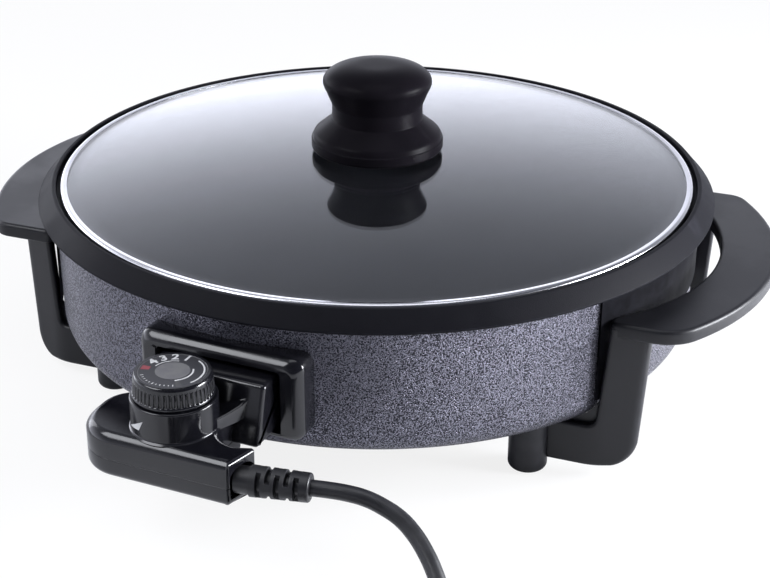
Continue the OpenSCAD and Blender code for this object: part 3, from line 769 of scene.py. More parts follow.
@dataclass(frozen=True)
class Layout:
    """Places and sizes read from the frame."""

    axis: Vector  # the pan's axis on the table
    rim_r: float  # radius of the rim
    rim_top: float  # height of the rim's top edge
    rim_low: float  # height of the rim's lower edge
    shell_r: float  # radius of the shell at the rim
    shell_low: float  # height of the shell's underside
    lid_r: float  # radius of the lid
    lid_low: float  # height of the lid's lower edge
    glass_top: float  # height of the glass at its middle
    knob_low: float  # height of the knob's underside
    knob_top: float  # height of the knob's top
    knob_r: float  # radius of the knob's flange
    dial_low: float  # height of the dial's underside
    dial_top: float  # height of the dial's top
    dial_r: float  # radius of the dial
    dial_at: Vector  # the dial's axis in the pan's frame
    body_low: float  # height of the thermostat's underside
    body_seam: float  # height of the seam between its halves
    neck_top: float  # height of the plug-in neck's top
    body_front: float  # distance of its front from the pan's axis

    @classmethod
    def from_frame(cls) -> "Layout":
        """Reads the places from the loaded frame.

        Returns:
            The layout.
        """
        pan, shell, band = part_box("inner_pan"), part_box("outer_shell"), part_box("lid_band")
        glass, knob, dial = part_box("lid_glass"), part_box("lid_knob"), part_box("dial_knob")
        upper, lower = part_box("upper_housing"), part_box("lower_housing")
        radii = {key: (box[1].x - box[0].x) / 2 for key, box in (
            ("rim_r", pan), ("shell_r", shell), ("lid_r", band), ("knob_r", knob), ("dial_r", dial),
        )}
        axis = Vector((0.0, (band[0].y + band[1].y) / 2, 0.0))
        return cls(
            axis=axis,
            rim_top=pan[1].z,
            rim_low=shell[1].z,
            shell_low=shell[0].z,
            lid_low=band[0].z,
            glass_top=glass[1].z,
            knob_low=knob[0].z,
            knob_top=knob[1].z,
            dial_low=dial[0].z,
            dial_top=dial[1].z,
            dial_at=Vector(((dial[0].x + dial[1].x) / 2, (dial[0].y + dial[1].y) / 2 - axis.y, 0.0)),
            body_low=lower[0].z,
            body_seam=lower[1].z,
            neck_top=upper[1].z,
            body_front=axis.y - lower[0].y,
            **radii,
        )


@dataclass
class MainsLead:
    """The mains lead: its free stretch, its coil, the tie and the plug."""

    axis: Vector  # the pan's axis on the table
    cord_r: float = 0.004  # radius of the cord
    relief_tip: Vector = field(default_factory=lambda: Vector((0.07134, -0.23392, 0.0534)))  # the cord's exit
    relief_turn: float = 11.5  # direction of the relief, in degrees from +X
    length: float = 1.0  # length of the cord from the relief to the plug
    coil_at: Vector = field(default_factory=lambda: Vector((0.104, -0.305, 0.0)))  # the coil's centre
    coil_in_r: float = 0.0345  # radius of its innermost turn
    coil_pitch: float = 0.0086  # distance between neighbouring turns
    coil_half: float = 1.625  # number of turns in, and again out
    coil_z: float = 0.0048  # height of its lower layer
    lead: float = 0.008  # straight length ahead of the coil
    tail: float = 0.014  # straight length from the coil to the plug
    turn_points: int = 24  # points in each turn
    plug_r: float = 0.02  # radius of the plug
    plug_t: float = 0.026  # thickness of the plug
    plug_neck: float = 0.022  # length of the plug's neck
    tie_w: float = 0.012  # width of the tie
    tie_t: float = 0.0007  # thickness of the tie

    def free_route(self) -> list[Vector]:
        """The free stretch: straight out of the relief, down, and along the table to the coil.

        Returns:
            Its points.
        """
        ahead = polar(2 * self.cord_r, math.radians(self.relief_turn))
        points = [
            (0.0885, -0.2309, 0.0532), (0.0972, -0.2297, 0.0520), (0.1056, -0.2293, 0.0495),
            (0.1142, -0.2298, 0.0460), (0.1223, -0.2324, 0.0415), (0.1296, -0.2365, 0.0365),
            (0.1363, -0.2417, 0.0310), (0.1422, -0.2479, 0.0255), (0.1466, -0.2552, 0.0205),
            (0.1495, -0.2630, 0.0155), (0.1507, -0.2715, 0.0115), (0.1513, -0.2795, 0.0080),
            (0.1519, -0.2870, 0.0058),
        ]
        return [self.relief_tip, self.relief_tip + ahead] + [Vector(p) for p in points]

    def plug_entry(self) -> Vector:
        """The point where the cord goes into the plug."""
        out_r = self.coil_in_r + self.coil_half * self.coil_pitch
        return self.coil_at + Vector((-self.tail, -out_r, self.coil_z + self.coil_pitch))

    def coil_route(self) -> list[Vector]:
        """The coil: in to its innermost turn, up a layer, and out again to the plug.

        Returns:
            Its points.
        """
        out_r = self.coil_in_r + self.coil_half * self.coil_pitch
        route = [self.coil_at + Vector((out_r, self.lead, self.coil_z))]
        for i in range(int(2 * self.coil_half * self.turn_points) + 1):
            t = i / self.turn_points
            radius = self.coil_in_r + abs(t - self.coil_half) * self.coil_pitch
            climb = clamp(2 * (t - self.coil_half) + 0.5)
            rise = self.coil_pitch * (1 - math.cos(math.pi * climb)) / 2
            route.append(self.coil_at + polar(radius, -2 * math.pi * t, self.coil_z + rise))
        return route + [self.plug_entry()]

    def build_cord(self) -> bpy.types.Object:
        """Makes the cord as one smooth curve from the relief to the plug.

        Returns:
            The cord.
        """
        route = [self.axis + p for p in self.free_route() + self.coil_route()]
        curve = bpy.data.curves.new("mains_cord", "CURVE")
        curve.dimensions = "3D"
        curve.bevel_depth = self.cord_r
        curve.bevel_resolution = 6
        curve.resolution_u = 4
        curve.use_fill_caps = True
        spline = curve.splines.new("BEZIER")
        spline.bezier_points.add(len(route) - 1)
        for point, place in zip(spline.bezier_points, route):
            point.co = place
            point.handle_left_type = "AUTO"
            point.handle_right_type = "AUTO"
        cord = linked("mains_cord", curve)
        return dress(cord, Slot.CABLE, Body.THERMOSTAT, ["power_cord", "cord_coil"])

    def build_tie(self) -> bpy.types.Object:
        """Makes the strap that holds the coil: a rounded band with a doubled end.

        Returns:
            The strap.
        """
        low, high = (p - self.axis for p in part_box("coil_tie"))
        made = MeshMaker(self.axis)
        r, t, half = 0.0025, self.tie_t, self.tie_w / 2
        ring = rounded([(low.x, 0.0, r), (high.x, 0.0, r), (high.x, high.z, r), (low.x, high.z, r)])
        edge, bevel = half - 0.0002, 0.0001
        levels = [(bevel, -half), (0.0, -edge), (0.0, edge), (bevel, half)]
        levels += [(t - bevel, half), (t, edge), (t, -edge), (t - bevel, -half)]
        loops = [[Vector((p.x, y, p.y)) for p in inset(ring, d)] for d, y in levels]
        place = Matrix.Translation((0, self.coil_at.y, 0))
        made.skin(loops, place, wrap=True)
        left, right, r, y = low.x + 0.003, high.x - 0.004, 0.001, half * 0.8
        tab = rounded([(left, -y, r), (right, -y, r), (right, y, r), (left, y, r)])
        made.prism(tab, high.z - 0.0002, high.z + 0.0009, (0.0001, 0.0004), place)
        return dress(made.finish("coil_strap"), Slot.CABLE, Body.THERMOSTAT, ["coil_tie"])

    def build_plug(self) -> bpy.types.Object:
        """Makes the round plug, lying on its back, with a ridged grip and a ribbed neck.

        Returns:
            The plug.
        """
        entry = self.plug_entry()
        middle = Vector((entry.x - self.plug_neck - self.plug_r + 0.001, entry.y, 0.0))
        r, t = self.plug_r, self.plug_t
        made = MeshMaker(self.axis)
        ridges = []
        for k in range(3):
            z = 0.0075 + 0.0032 * k
            ridges += [(r, z, 0.0003), (r - 0.0009, z + 0.0007, 0.0005), (r, z + 0.0014, 0.0003)]
        face = [(0.0, 0.0, 0), (r - 0.002, 0.0, 0.0018), (r, 0.004, 0.002)]
        well, floor = r - 0.0028, t - 0.0012
        front = [(r, t, 0.0014), (well, t, 0.0004), (well, floor, 0.0004), (0.0, floor, 0)]
        made.lathe(rounded(face + ridges + front, closed=False), 96, Matrix.Translation(middle))
        root = 0.8 * r
        reach = (entry.x - middle.x) - root
        rings = []
        for k in range(5):
            s, width = reach * (0.3 + 0.13 * k), 0.0085 - 0.0004 * k
            groove = width - 0.0013
            rings += [(width, s, 0.0004), (groove, s + 0.0006, 0.0003)]
            rings += [(groove, s + 0.0014, 0.0003), (width - 0.0002, s + 0.002, 0.0004)]
        neck = [(0.0, 0.0, 0), (0.0095, 0.0, 0)] + rings + [(0.0061, reach, 0.0008), (0.0, reach, 0)]
        at = Vector((middle.x + root, entry.y, entry.z))
        lay = Matrix.Translation(at) @ Matrix.Rotation(math.pi / 2, 4, "Y")
        made.lathe(rounded(neck, closed=False), 64, lay)
        return dress(made.finish("plug_moulding"), Slot.CABLE, Body.THERMOSTAT, ["plug_body"])

    def build(self, nodes: dict[str, bpy.types.Object]) -> None:
        """Makes the lead: the cord, the tie and the plug.

        Args:
            nodes: the frame's CAD nodes.
        """
        cord = self.build_cord()
        pieces = [self.build_tie(), self.build_plug(), nodes["plug_pins"], nodes["plug_earth_clips"]]


@dataclass
class PanBody:
    """The cast pan with its rim, and the hammer-finish shell round it."""

    layout: Layout
    flare: float = 0.009  # how far the rim's face leans out
    crest_t: float = 0.0015  # thickness of the rim's top edge
    seat: float = 0.0042  # depth of the lid's seat
    lid_play: float = 0.002  # play between lid and upstand
    lid_lap: float = 0.005  # how far the lid laps onto its seat
    cook_depth: float = 0.0392  # depth of the cooking floor
    floor_t: float = 0.006  # thickness of the floor
    wall: float = 0.003  # thickness of the pan's wall
    corner_r: float = 0.025  # radius between wall and floor
    shell_t: float = 0.0012  # thickness of the shell
    draft: float = 0.0005  # radius that the shell loses downwards
    edge_r: float = 0.012  # radius of the shell's lower edge
    window: tuple[float, float] = (0.0704, 0.0364)  # width and height of the socket's window
    window_z: float = 0.0674  # height of the window's middle
    turns: int = 256  # steps in a full turn
    crease: float = 40.0  # edges that turn by more than this, in degrees, stay sharp

    def build_pan(self) -> None:
        """Makes the pan, its rim, the lid's seat and the cooking floor."""
        lay = self.layout
        top, low, rim = lay.rim_top, lay.rim_low, lay.rim_r
        crest = rim - self.flare
        stand = crest - self.crest_t
        inner = stand - self.lid_play - self.lid_lap
        floor = top - self.cook_depth
        outer = inner + self.wall
        under = floor - self.floor_t
        profile = rounded(
            [
                (0.0, under, 0), (outer, under, self.corner_r + self.wall), (outer, low, 0.0005),
                (rim, low, 0.0014), (rim - 0.0004, low + 0.0016, 0.0012),
                (crest + 0.0006, top, 0.0012), (stand, top, 0.0006), (stand, top - self.seat, 0.0006),
                (inner, top - self.seat, 0.0008), (inner, floor, self.corner_r), (0.0, floor, 0),
            ],
            closed=False,
        )
        made = MeshMaker(lay.axis)
        made.lathe(profile, self.turns)
        dress(made.finish("pan_casting", self.crease), Slot.NONSTICK, Body.PAN, ["inner_pan"])

    def shell_radius(self, z: float) -> float:
        """Radius of the shell's outside at a height.

        Args:
            z: the height.

        Returns:
            The radius there.
        """
        lay = self.layout
        knee = lay.shell_low + self.edge_r
        if z >= knee:
            return lay.shell_r - self.draft * (lay.rim_low - z) / (lay.rim_low - knee)
        return lay.shell_r - self.draft - self.edge_r + math.sqrt(self.edge_r**2 - (knee - z) ** 2)

    def underside(self, radius: float) -> float:
        """Height of the shell's outside at a distance from the axis.

        Args:
            radius: that distance.

        Returns:
            The height, or the rim's lower edge outside the shell.
        """
        lay = self.layout
        out = radius - (lay.shell_r - self.draft - self.edge_r)
        if out > self.edge_r:
            return lay.rim_low
        return lay.shell_low + self.edge_r - math.sqrt(self.edge_r**2 - max(out, 0.0) ** 2)

    def build_shell(self) -> None:
        """Makes the shell, with the socket's window cut in it."""
        lay = self.layout
        r, low, high, t = lay.shell_r, lay.shell_low, lay.rim_low, self.shell_t
        low_r = r - self.draft / (high - low - self.edge_r) * (high - low)
        outside = [(0.0, low, 0), (low_r, low, self.edge_r), (r, high, 0)]
        inside = [(r - t, high, 0), (low_r - t, low + t, self.edge_r - t), (0.0, low + t, 0)]
        made = MeshMaker(lay.axis)
        walls = [rounded(wall, closed=False, step=4.5) for wall in (outside, inside)]
        made.lathe(walls[0] + walls[1], self.turns)
        shell = made.finish("hammered_shell", self.crease)
        cut = MeshMaker(lay.axis)
        x, z = self.window[0] / 2, self.window[1] / 2
        hole = [Vector(p) for p in ((-x, -z), (x, -z), (x, z), (-x, z))]
        stand = Matrix.Translation((0, 0, self.window_z)) @ UPRIGHT
        cut.prism(hole, r - 0.02, r + 0.01, (0.0001, 0.0001), stand, steps=1)
        carve(shell, cut.finish("window_cutter"), self.crease)
        dress(shell, Slot.HAMMERED, Body.PAN, ["outer_shell"])

    def build(self) -> None:
        """Makes the pan and its shell."""
        self.build_pan()
        self.build_shell()


@dataclass
class Grips:
    """The two grip-and-leg mouldings, turned a little about the pan's axis."""

    layout: Layout
    shell: PanBody  # the shell that they stand round
    turn: float = 3.0  # turn of the grips from square to the socket, in degrees
    gap: float = 0.006  # slot between the rim and the grip
    bow_r: float = 0.122  # radius of the grip's inner edge
    width: float = 0.031  # width of the grip
    extra: float = 0.002  # how much wider the grip and its legs are than their solids
    halves: tuple[float, float] = (0.0945, 0.0985)  # distance of the slim and broad end from the middle
    drop: float = 0.0262  # drop from the rim's top edge to the grip's top
    thick: float = 0.008  # thickness of the grip
    clear: float = 0.002  # clearance to the shell
    outer_corners: tuple[float, float] = (0.024, 0.013)  # outer corner radius of the slim and broad end
    inner_corner: float = 0.004  # radius of the inner end corners
    leg_y: float = 0.087  # distance of the leg's outer edge from the grip's middle
    leg_in: float = 0.0168  # distance of that edge inside the grip's outer edge
    leg_sink: float = 0.002  # distance of the leg's top below the grip's top
    leg_turn: float = 22.0  # turn of the leg's upright plate, in degrees
    leg_w: float = 0.0232  # width of the upright
    leg_t: float = 0.007  # thickness of the plates
    leg_lean: float = 0.005  # how far the upright leans in on its way down
    leg_clear: float = 0.0065  # clearance under the plates
    shelf: float = 0.024  # height of the lower limb
    leg_corner: float = 0.0145  # radius of the leg's outer lower corner
    leg_bend: float = 0.012  # length of the bend between the upright and the lower limb
    bend_cuts: int = 8  # steps in that bend
    rib_gap: float = 0.0003  # gap between the leg's rib and the shell
    foot_r: float = 0.0105  # radius of a foot post
    foot_inset: float = 0.0255  # distance of the posts inside the shell's radius
    foot_hole: tuple[float, float] = (0.0045, 0.012)  # radius and depth of the screw's recess
    shade_sheet_t: float = 0.0014  # distance of the shade sheet's face from the shell; the sheet is painted shade on the shell behind the grip and legs
    shade_sheet_low: float = 0.0446  # height of its lower edge behind the legs
    shade_sheet_drop: float = 0.012  # how far it reaches below the grip
    shade_sheet_reach: float = 31.0  # angle that it reaches to from the grip's middle, in degrees
    shade_sheet_end: float = 25.0  # angle at which its strip behind a leg ends, in degrees
    shade_sheet_gap: float = 0.0002  # gap between the shade sheet and the shell
    edges: tuple[float, float] = (0.0014, 0.0022)  # radius of the grip's lower and upper edge
    leg_rounds: tuple[float, float] = (0.0016, 0.002)  # radius of a leg's back and front edge
    crease: float = 38.0  # edges that turn by more than this, in degrees, stay sharp

    def half_outline(self, half: float, ro: float) -> list[Vector]:
        """One end of the grip: two arcs, the shell's clearance and round corners.

        Args:
            half: distance of that end from the grip's middle.
            ro: its outer corner radius.

        Returns:
            The points between the outer and the inner middle, for the end towards -Y.
        """
        lay = self.layout
        cx = lay.rim_r + self.gap - self.bow_r
        out_r = self.bow_r + self.width
        clear_r = lay.shell_r + self.clear
        ri = self.inner_corner
        outer_y = ro - half
        outer_x = cx + math.sqrt((out_r - ro) ** 2 - outer_y**2)
        outer_a = math.degrees(math.atan2(outer_y, outer_x - cx))
        inner_y = ri - half
        inner_x = math.sqrt((clear_r + ri) ** 2 - inner_y**2)
        inner_a = math.degrees(math.atan2(inner_y, inner_x))
        cross_x = (clear_r**2 - self.bow_r**2 + cx**2) / (2 * cx)
        cross_y = -math.sqrt(clear_r**2 - cross_x**2)
        cross_clear = math.degrees(math.atan2(cross_y, cross_x))
        cross_bow = math.degrees(math.atan2(cross_y, cross_x - cx))
        points = bow((cx, 0.0), out_r, 0.0, outer_a, 24)[1:]
        points += bow((outer_x, outer_y), ro, outer_a, -90.0, 10)[1:]
        points += bow((inner_x, inner_y), ri, -90.0, inner_a - 180.0, 8)
        points += bow((0.0, 0.0), clear_r, inner_a, cross_clear, 3)[1:]
        return points + bow((cx, 0.0), self.bow_r, cross_bow, 0.0, 24)[1:-1]

    def outline(self) -> list[Vector]:
        """The grip's outline on the right-hand side, slim at the front and broad at the back.

        Returns:
            Its points.
        """
        inner = self.layout.rim_r + self.gap
        slim, broad = (self.half_outline(h, r) for h, r in zip(self.halves, self.outer_corners))
        other = [Vector((p.x, -p.y)) for p in reversed(broad)]
        return [Vector((inner + self.width, 0.0))] + slim + [Vector((inner, 0.0))] + other

    def flat_leg(self, end: float) -> MeshMaker:
        """Makes the leg before it is bent: the upright, the lower limb and the rib in their corner.

        Args:
            end: X of the lower limb's end.

        Returns:
            The leg's mesh, with its outer face at Y = 0.
        """
        top = self.layout.rim_top - self.drop - self.leg_sink
        foot = self.leg_w + self.leg_lean
        shelf_z = self.leg_clear + self.shelf
        plate = rounded([
            (0.0, top, 0), (-self.leg_w, top, 0), (-foot, shelf_z, 0.005), (end, shelf_z, 0),
            (end, self.leg_clear, 0), (-self.leg_lean, self.leg_clear, self.leg_corner),
        ])
        rib = rounded([
            (-foot - 0.026, shelf_z - 0.002, 0), (-foot + 0.003, shelf_z - 0.002, 0),
            (-foot + 0.0055, shelf_z + 0.018, 0), (-foot - 0.002, shelf_z + 0.008, 0.008),
            (-foot - 0.026, shelf_z + 0.008, 0.002),
        ])
        flat = MeshMaker(Vector())
        flat.prism(plate, -self.leg_t, 0.0, self.leg_rounds, UPRIGHT, steps=7, swell=self.leg_edges)
        flat.prism(rib, 0.0006 - self.leg_t, 0.003 - self.leg_t, (0.0002, 0.0002), UPRIGHT)
        return flat

    def add_leg(self, made: MeshMaker, flip: Matrix) -> None:
        """Adds the front leg, bent round the shell, and the foot post.

        Args:
            made: the moulding's mesh.
            flip: carries the leg to its end of the grip and side of the pan.
        """
        lay = self.layout
        cx = lay.rim_r + self.gap - self.bow_r
        out_r = self.bow_r + self.width - self.extra
        foot = self.leg_w + self.leg_lean
        turn = math.radians(self.leg_turn)
        outer = Vector((cx + math.sqrt(out_r**2 - self.leg_y**2) - self.leg_in + self.extra, -self.leg_y))
        limb_y = self.leg_y + foot * math.sin(turn)
        post_r = lay.shell_r - self.foot_inset
        post = Vector((math.sqrt(post_r**2 - limb_y**2), -limb_y, 0.0))
        bend_from = -foot - self.leg_bend / 2
        bend_r = self.leg_bend / turn
        past = -bend_from - self.leg_bend
        bend_at = outer - Vector((math.sin(turn), 1 - math.cos(turn))) * bend_r
        bend_at -= Vector((math.cos(turn), math.sin(turn))) * past
        flat = self.flat_leg(bend_from + post.x - bend_at.x)
        for k in range(self.bend_cuts + 1):
            whole = list(flat.bm.verts) + list(flat.bm.edges) + list(flat.bm.faces)
            at = (bend_from + self.leg_bend * k / self.bend_cuts, 0.0, 0.0)
            bmesh.ops.bisect_plane(flat.bm, geom=whole, dist=WELD, plane_co=at, plane_no=(1, 0, 0))
        for vert in flat.bm.verts:
            run = vert.co.x - bend_from
            angle = turn * clamp(run / self.leg_bend)
            straight = min(run, 0.0) + max(run - self.leg_bend, 0.0)
            along = Vector((math.sin(angle), 1 - math.cos(angle))) * bend_r
            along += Vector((math.cos(angle), math.sin(angle))) * straight
            inward = Vector((-math.sin(angle), math.cos(angle))) * vert.co.y
            spot = bend_at + along + inward
            below = self.shell.underside(spot.length) - self.rib_gap
            vert.co = flip @ spot.to_3d() + Vector((0, 0, min(vert.co.z, below)))
        made.add(flat.bm)
        hole_r, hole_d = self.foot_hole
        column = rounded(
            [
                (0.0, hole_d, 0), (hole_r, hole_d, 0.0003), (hole_r, 0.0, 0.0005), (self.foot_r, 0.0, 0.0035),
                (self.foot_r, lay.shell_low, 0), (0.0, lay.shell_low, 0),
            ],
            closed=False,
        )
        made.lathe(column, 64, flip @ Matrix.Translation(post))

    def leg_edges(self, point: Vector) -> tuple[float, float]:
        """How much rounder a leg's inner back edge and outer front edge are than its other edges.

        Args:
            point: a point of the leg's flat outline.

        Returns:
            Factors for the back and the front edge there.
        """
        upright = -self.leg_w - self.leg_lean - 0.002 < point.x < 0.004 - self.leg_w
        inner = upright and point.y > self.leg_clear + 0.01
        return (3.2 if inner else 1.0, 1.0 + 1.9 * clamp((point.x + 0.018) / 0.013))

    def add_shade_sheet(self, made: MeshMaker, place: Matrix) -> None:
        """Adds a thin near-black sheet on the shell that is painted shade: a band over the grip, where rim
        and grip shade the shell, and a strip behind each leg.

        Args:
            made: the shade sheet's mesh.
            place: carries the shade sheet to its side of the pan.
        """
        lay = self.layout
        inner, outer = lay.shell_r + self.shade_sheet_gap, lay.shell_r + self.shade_sheet_t
        high, reach = lay.rim_low - 0.0003, self.shade_sheet_reach
        band_low = lay.rim_top - self.drop - self.thick - self.shade_sheet_drop
        spans = (
            (-reach, reach, band_low, 28), (-reach, -self.shade_sheet_end, self.shade_sheet_low, 5),
            (self.shade_sheet_end, reach, self.shade_sheet_low, 5),
        )
        for start, end, low, count in spans:
            section = ((inner, low), (outer, low + 0.0004), (outer, high), (inner, high))
            angles = [math.radians(start + (end - start) * k / count) for k in range(count + 1)]
            made.skin([[polar(r, a, z) for r, z in section] for a in angles], place, caps=True)

    def build_one(self, side: Side) -> None:
        """Makes one moulding and the painted shade sheet on the shell behind it.

        Args:
            side: the side of the pan that it is on.
        """
        lay = self.layout
        # flange holds the mesh of the painted shade sheet on the shell.
        made, flange = MeshMaker(lay.axis), MeshMaker(lay.axis)
        base = about_z(self.turn) @ about_z(side.value)
        top = lay.rim_top - self.drop
        made.prism(self.outline(), top - self.thick, top, self.edges, base)
        for end in (1, -1):
            self.add_leg(made, base @ Matrix.Scale(end, 4, (0, 1, 0)))
        self.add_shade_sheet(flange, base)
        word = side.name.lower()
        # The sheet gets a near-black, almost unreflecting finish: painted shade on the shell.
        dress(flange.finish("shade_sheet_" + word, self.crease), Slot.BAKELITE, Body.PAN, finish=SHADE_SHEET_BLACK)
        dress(made.finish("grip_" + word, self.crease), Slot.BAKELITE, Body.PAN, ["handle_" + word])

    def build(self) -> None:
        """Makes both mouldings."""
        for side in Side:
            self.build_one(side)


@dataclass
class Socket:
    """The glossy shroud round the socket, with its pocket for the thermostat's neck."""

    layout: Layout
    shell: PanBody  # the shell that it sits on
    size: tuple[float, float] = (0.091, 0.046)  # width and height at the shell
    middle: float = 0.069  # height of its middle
    corner: float = 0.007  # corner radius
    front: float = 0.193  # distance of its face from the pan's axis
    edge: tuple[float, float] = (0.0048, 0.0056)  # how far the face's edge runs in and back
    edge_power: float = 1.4  # shape of that edge, round at 1 and flat at 2
    pocket: tuple[float, float] = (0.0656, 0.0316)  # width and height of the pocket
    pocket_z: float = 0.0674  # height of the pocket's middle
    pocket_floor: float = 0.177  # distance of the pocket's floor from the pan's axis
    pocket_corner: float = 0.0022  # corner radius of the pocket
    flare: float = 0.0015  # how far the pocket's mouth opens
    flare_depth: float = 0.005  # depth over which it does
    sill: float = 0.0005  # bevel of the mouth

    def frame_loop(self, width: float, height: float, radius: float) -> list[Vector]:
        """A rectangle with round corners and points all along its sides.

        Args:
            width: its width.
            height: its height.
            radius: its corner radius.

        Returns:
            The points, as many for every size.
        """
        x, z = width / 2 - radius, height / 2 - radius
        points: list[Vector] = []
        for cx, cz, start in ((x, -z, -90), (x, z, 0), (-x, z, 90), (-x, -z, 180)):
            points += bow((cx, cz), radius, start, start + 90, 8)
        dense: list[Vector] = []
        for i, p in enumerate(points):
            following = points[(i + 1) % len(points)]
            dense.append(p)
            if i % 9 == 8:
                dense += [p.lerp(following, k / 20) for k in range(1, 20)]
        return dense

    def build(self) -> None:
        """Makes the shroud."""
        width, height = self.size
        wall = []
        for p in self.frame_loop(width, height, self.corner):
            z = self.middle + p.y
            reach = self.shell.shell_radius(z) - 0.0008
            wall.append(Vector((p.x, -math.sqrt(reach**2 - p.x**2), z)))
        rings = []
        steps = 8
        for k in range(steps + 1):
            a = math.pi / 2 * k / steps
            shrink = self.edge[0] * (1 - max(math.cos(a), 0.0) ** self.edge_power)
            y = -self.front + self.edge[1] * (1 - math.sin(a) ** self.edge_power)
            sizes = (width - 2 * shrink, height - 2 * shrink, self.corner - shrink * 0.4)
            rings.append((sizes, y, self.middle))
        mouth = ((self.sill, 0.0), (0.0, self.sill), (-self.flare, self.flare_depth))
        for grow, back in mouth + ((-self.flare, self.front - self.pocket_floor),):
            wide, tall = (size + 2 * self.flare + 2 * grow for size in self.pocket)
            rings.append(((wide, tall, self.pocket_corner), back - self.front, self.pocket_z))
        loops = [wall]
        for sizes, y, z in rings:
            loops.append([Vector((p.x, y, z + p.y)) for p in self.frame_loop(*sizes)])
        made = MeshMaker(self.layout.axis)
        made.skin(loops, caps=True)
        dress(made.finish("socket_frame", 36.0), Slot.GLOSS, Body.PAN, ["socket_shroud"])


@dataclass
class Lid:
    """The domed glass lid with its steel band and knob."""

    layout: Layout
    glass_t: float = 0.003  # thickness of the glass
    hole_r: float = 0.004  # radius of the hole for the knob's screw
    band_w: float = 0.004  # width of the band on the glass
    band_t: float = 0.0006  # thickness of the band
    band_h: float = 0.0043  # height of the band
    knob_neck: float = 0.0256  # radius of the knob's waist
    knob_cap: float = 0.03075  # radius of the knob's cap
    knob_lip: float = 0.0054  # height of the flange's lip
    knob_foot: float = 0.017  # height of the flange and its cone
    waist_h: float = 0.0085  # height of the waist
    cap_h: float = 0.0095  # height of the cap's dome
    pole: float = 0.009  # radius of the flat at its top
    turns: int = 256  # steps in a full turn

    def build_glass(self) -> None:
        """Makes the glass: a flat edge under the band, then a dome with a hole for the knob's screw."""
        lay = self.layout
        dome_r = lay.lid_r - self.band_w - 0.002
        low = lay.lid_low + self.band_t + 0.00005
        rise = lay.glass_top - low - self.glass_t
        radius = (dome_r**2 + rise**2) / (2 * rise)
        cap = math.degrees(math.asin(dome_r / radius))
        centre = (0.0, lay.glass_top - radius)
        edge, high, bevel = lay.lid_r - self.band_t - 0.0001, low + self.glass_t, 0.0004
        profile = [
            Vector((edge - bevel, low)), Vector((edge, low + bevel)),
            Vector((edge, high - bevel)), Vector((edge - bevel, high)),
        ]
        inner_r = radius - self.glass_t
        profile += [p for p in bow(centre, radius, 90 - cap, 90, 40) if p.x > self.hole_r]
        for r in (radius, inner_r):
            profile.append(Vector((self.hole_r, math.sqrt(r**2 - self.hole_r**2) + centre[1])))
        profile += [p for p in bow(centre, inner_r, 90, 90 - cap, 40) if p.x > self.hole_r]
        made = MeshMaker(lay.axis)
        made.lathe(profile, self.turns, wrap=True)
        dress(made.finish("dome_glass", 30.0), Slot.GLASS, Body.LID, ["lid_glass"])

    def build_band(self) -> None:
        """Makes the rolled steel band round the glass."""
        r, z = self.layout.lid_r, self.layout.lid_low
        w, t, h = self.band_w, self.band_t, self.band_h
        profile = rounded([
            (r - w, z, 0.0002), (r, z, 0.0019), (r - 0.0002, z + h, 0.0019),
            (r - w, z + h - 0.8 * t, 0.00005), (r - w, z + h - t, 0.00005),
            (r - t, z + h - t, 0.0009), (r - t, z + t, 0.0009), (r - w, z + t, 0.0002),
        ])
        made = MeshMaker(self.layout.axis)
        made.lathe(profile, self.turns, wrap=True)
        dress(made.finish("steel_band", 40.0), Slot.BAND, Body.LID, ["lid_band"])

    def build_knob(self) -> None:
        """Makes the knob: lipped flange, cone, waist and mushroom cap."""
        lay = self.layout
        z0, top = lay.knob_low, lay.knob_top
        flange, neck, cap, pole = lay.knob_r, self.knob_neck, self.knob_cap, self.pole
        lip, neck_z, cap_z = z0 + self.knob_lip, z0 + self.knob_foot, top - self.cap_h
        profile = rounded(
            [
                (0.0, z0, 0), (flange - 0.0006, z0, 0.0006), (flange, z0 + 0.001, 0.001),
                (flange, lip, 0.0004), (flange - 0.0006, lip + 0.0004, 0.0003),
                (flange - 0.0014, lip + 0.0034, 0.0045),
                (neck + 0.0002, neck_z, 0.0012), (neck, neck_z + self.waist_h, 0.004),
                (cap - 0.0022, cap_z - 0.0062, 0.007), (cap, cap_z - 0.0012, 0.004), (cap, cap_z, 0),
            ],
            closed=False, step=6.0,
        )
        for k in range(1, 17):
            a = math.pi / 2 * k / 16
            profile.append(Vector((pole + (cap - pole) * math.cos(a), cap_z + (top - cap_z) * math.sin(a))))
        profile.append(Vector((0.0, top)))
        made = MeshMaker(lay.axis)
        made.lathe(profile, 160)
        dress(made.finish("knob_moulding", 34.0), Slot.BAKELITE, Body.LID, ["lid_knob"], KNOB_BAKELITE)

    def build(self) -> None:
        """Makes the glass, the band and the knob."""
        self.build_glass()
        self.build_band()
        self.build_knob()


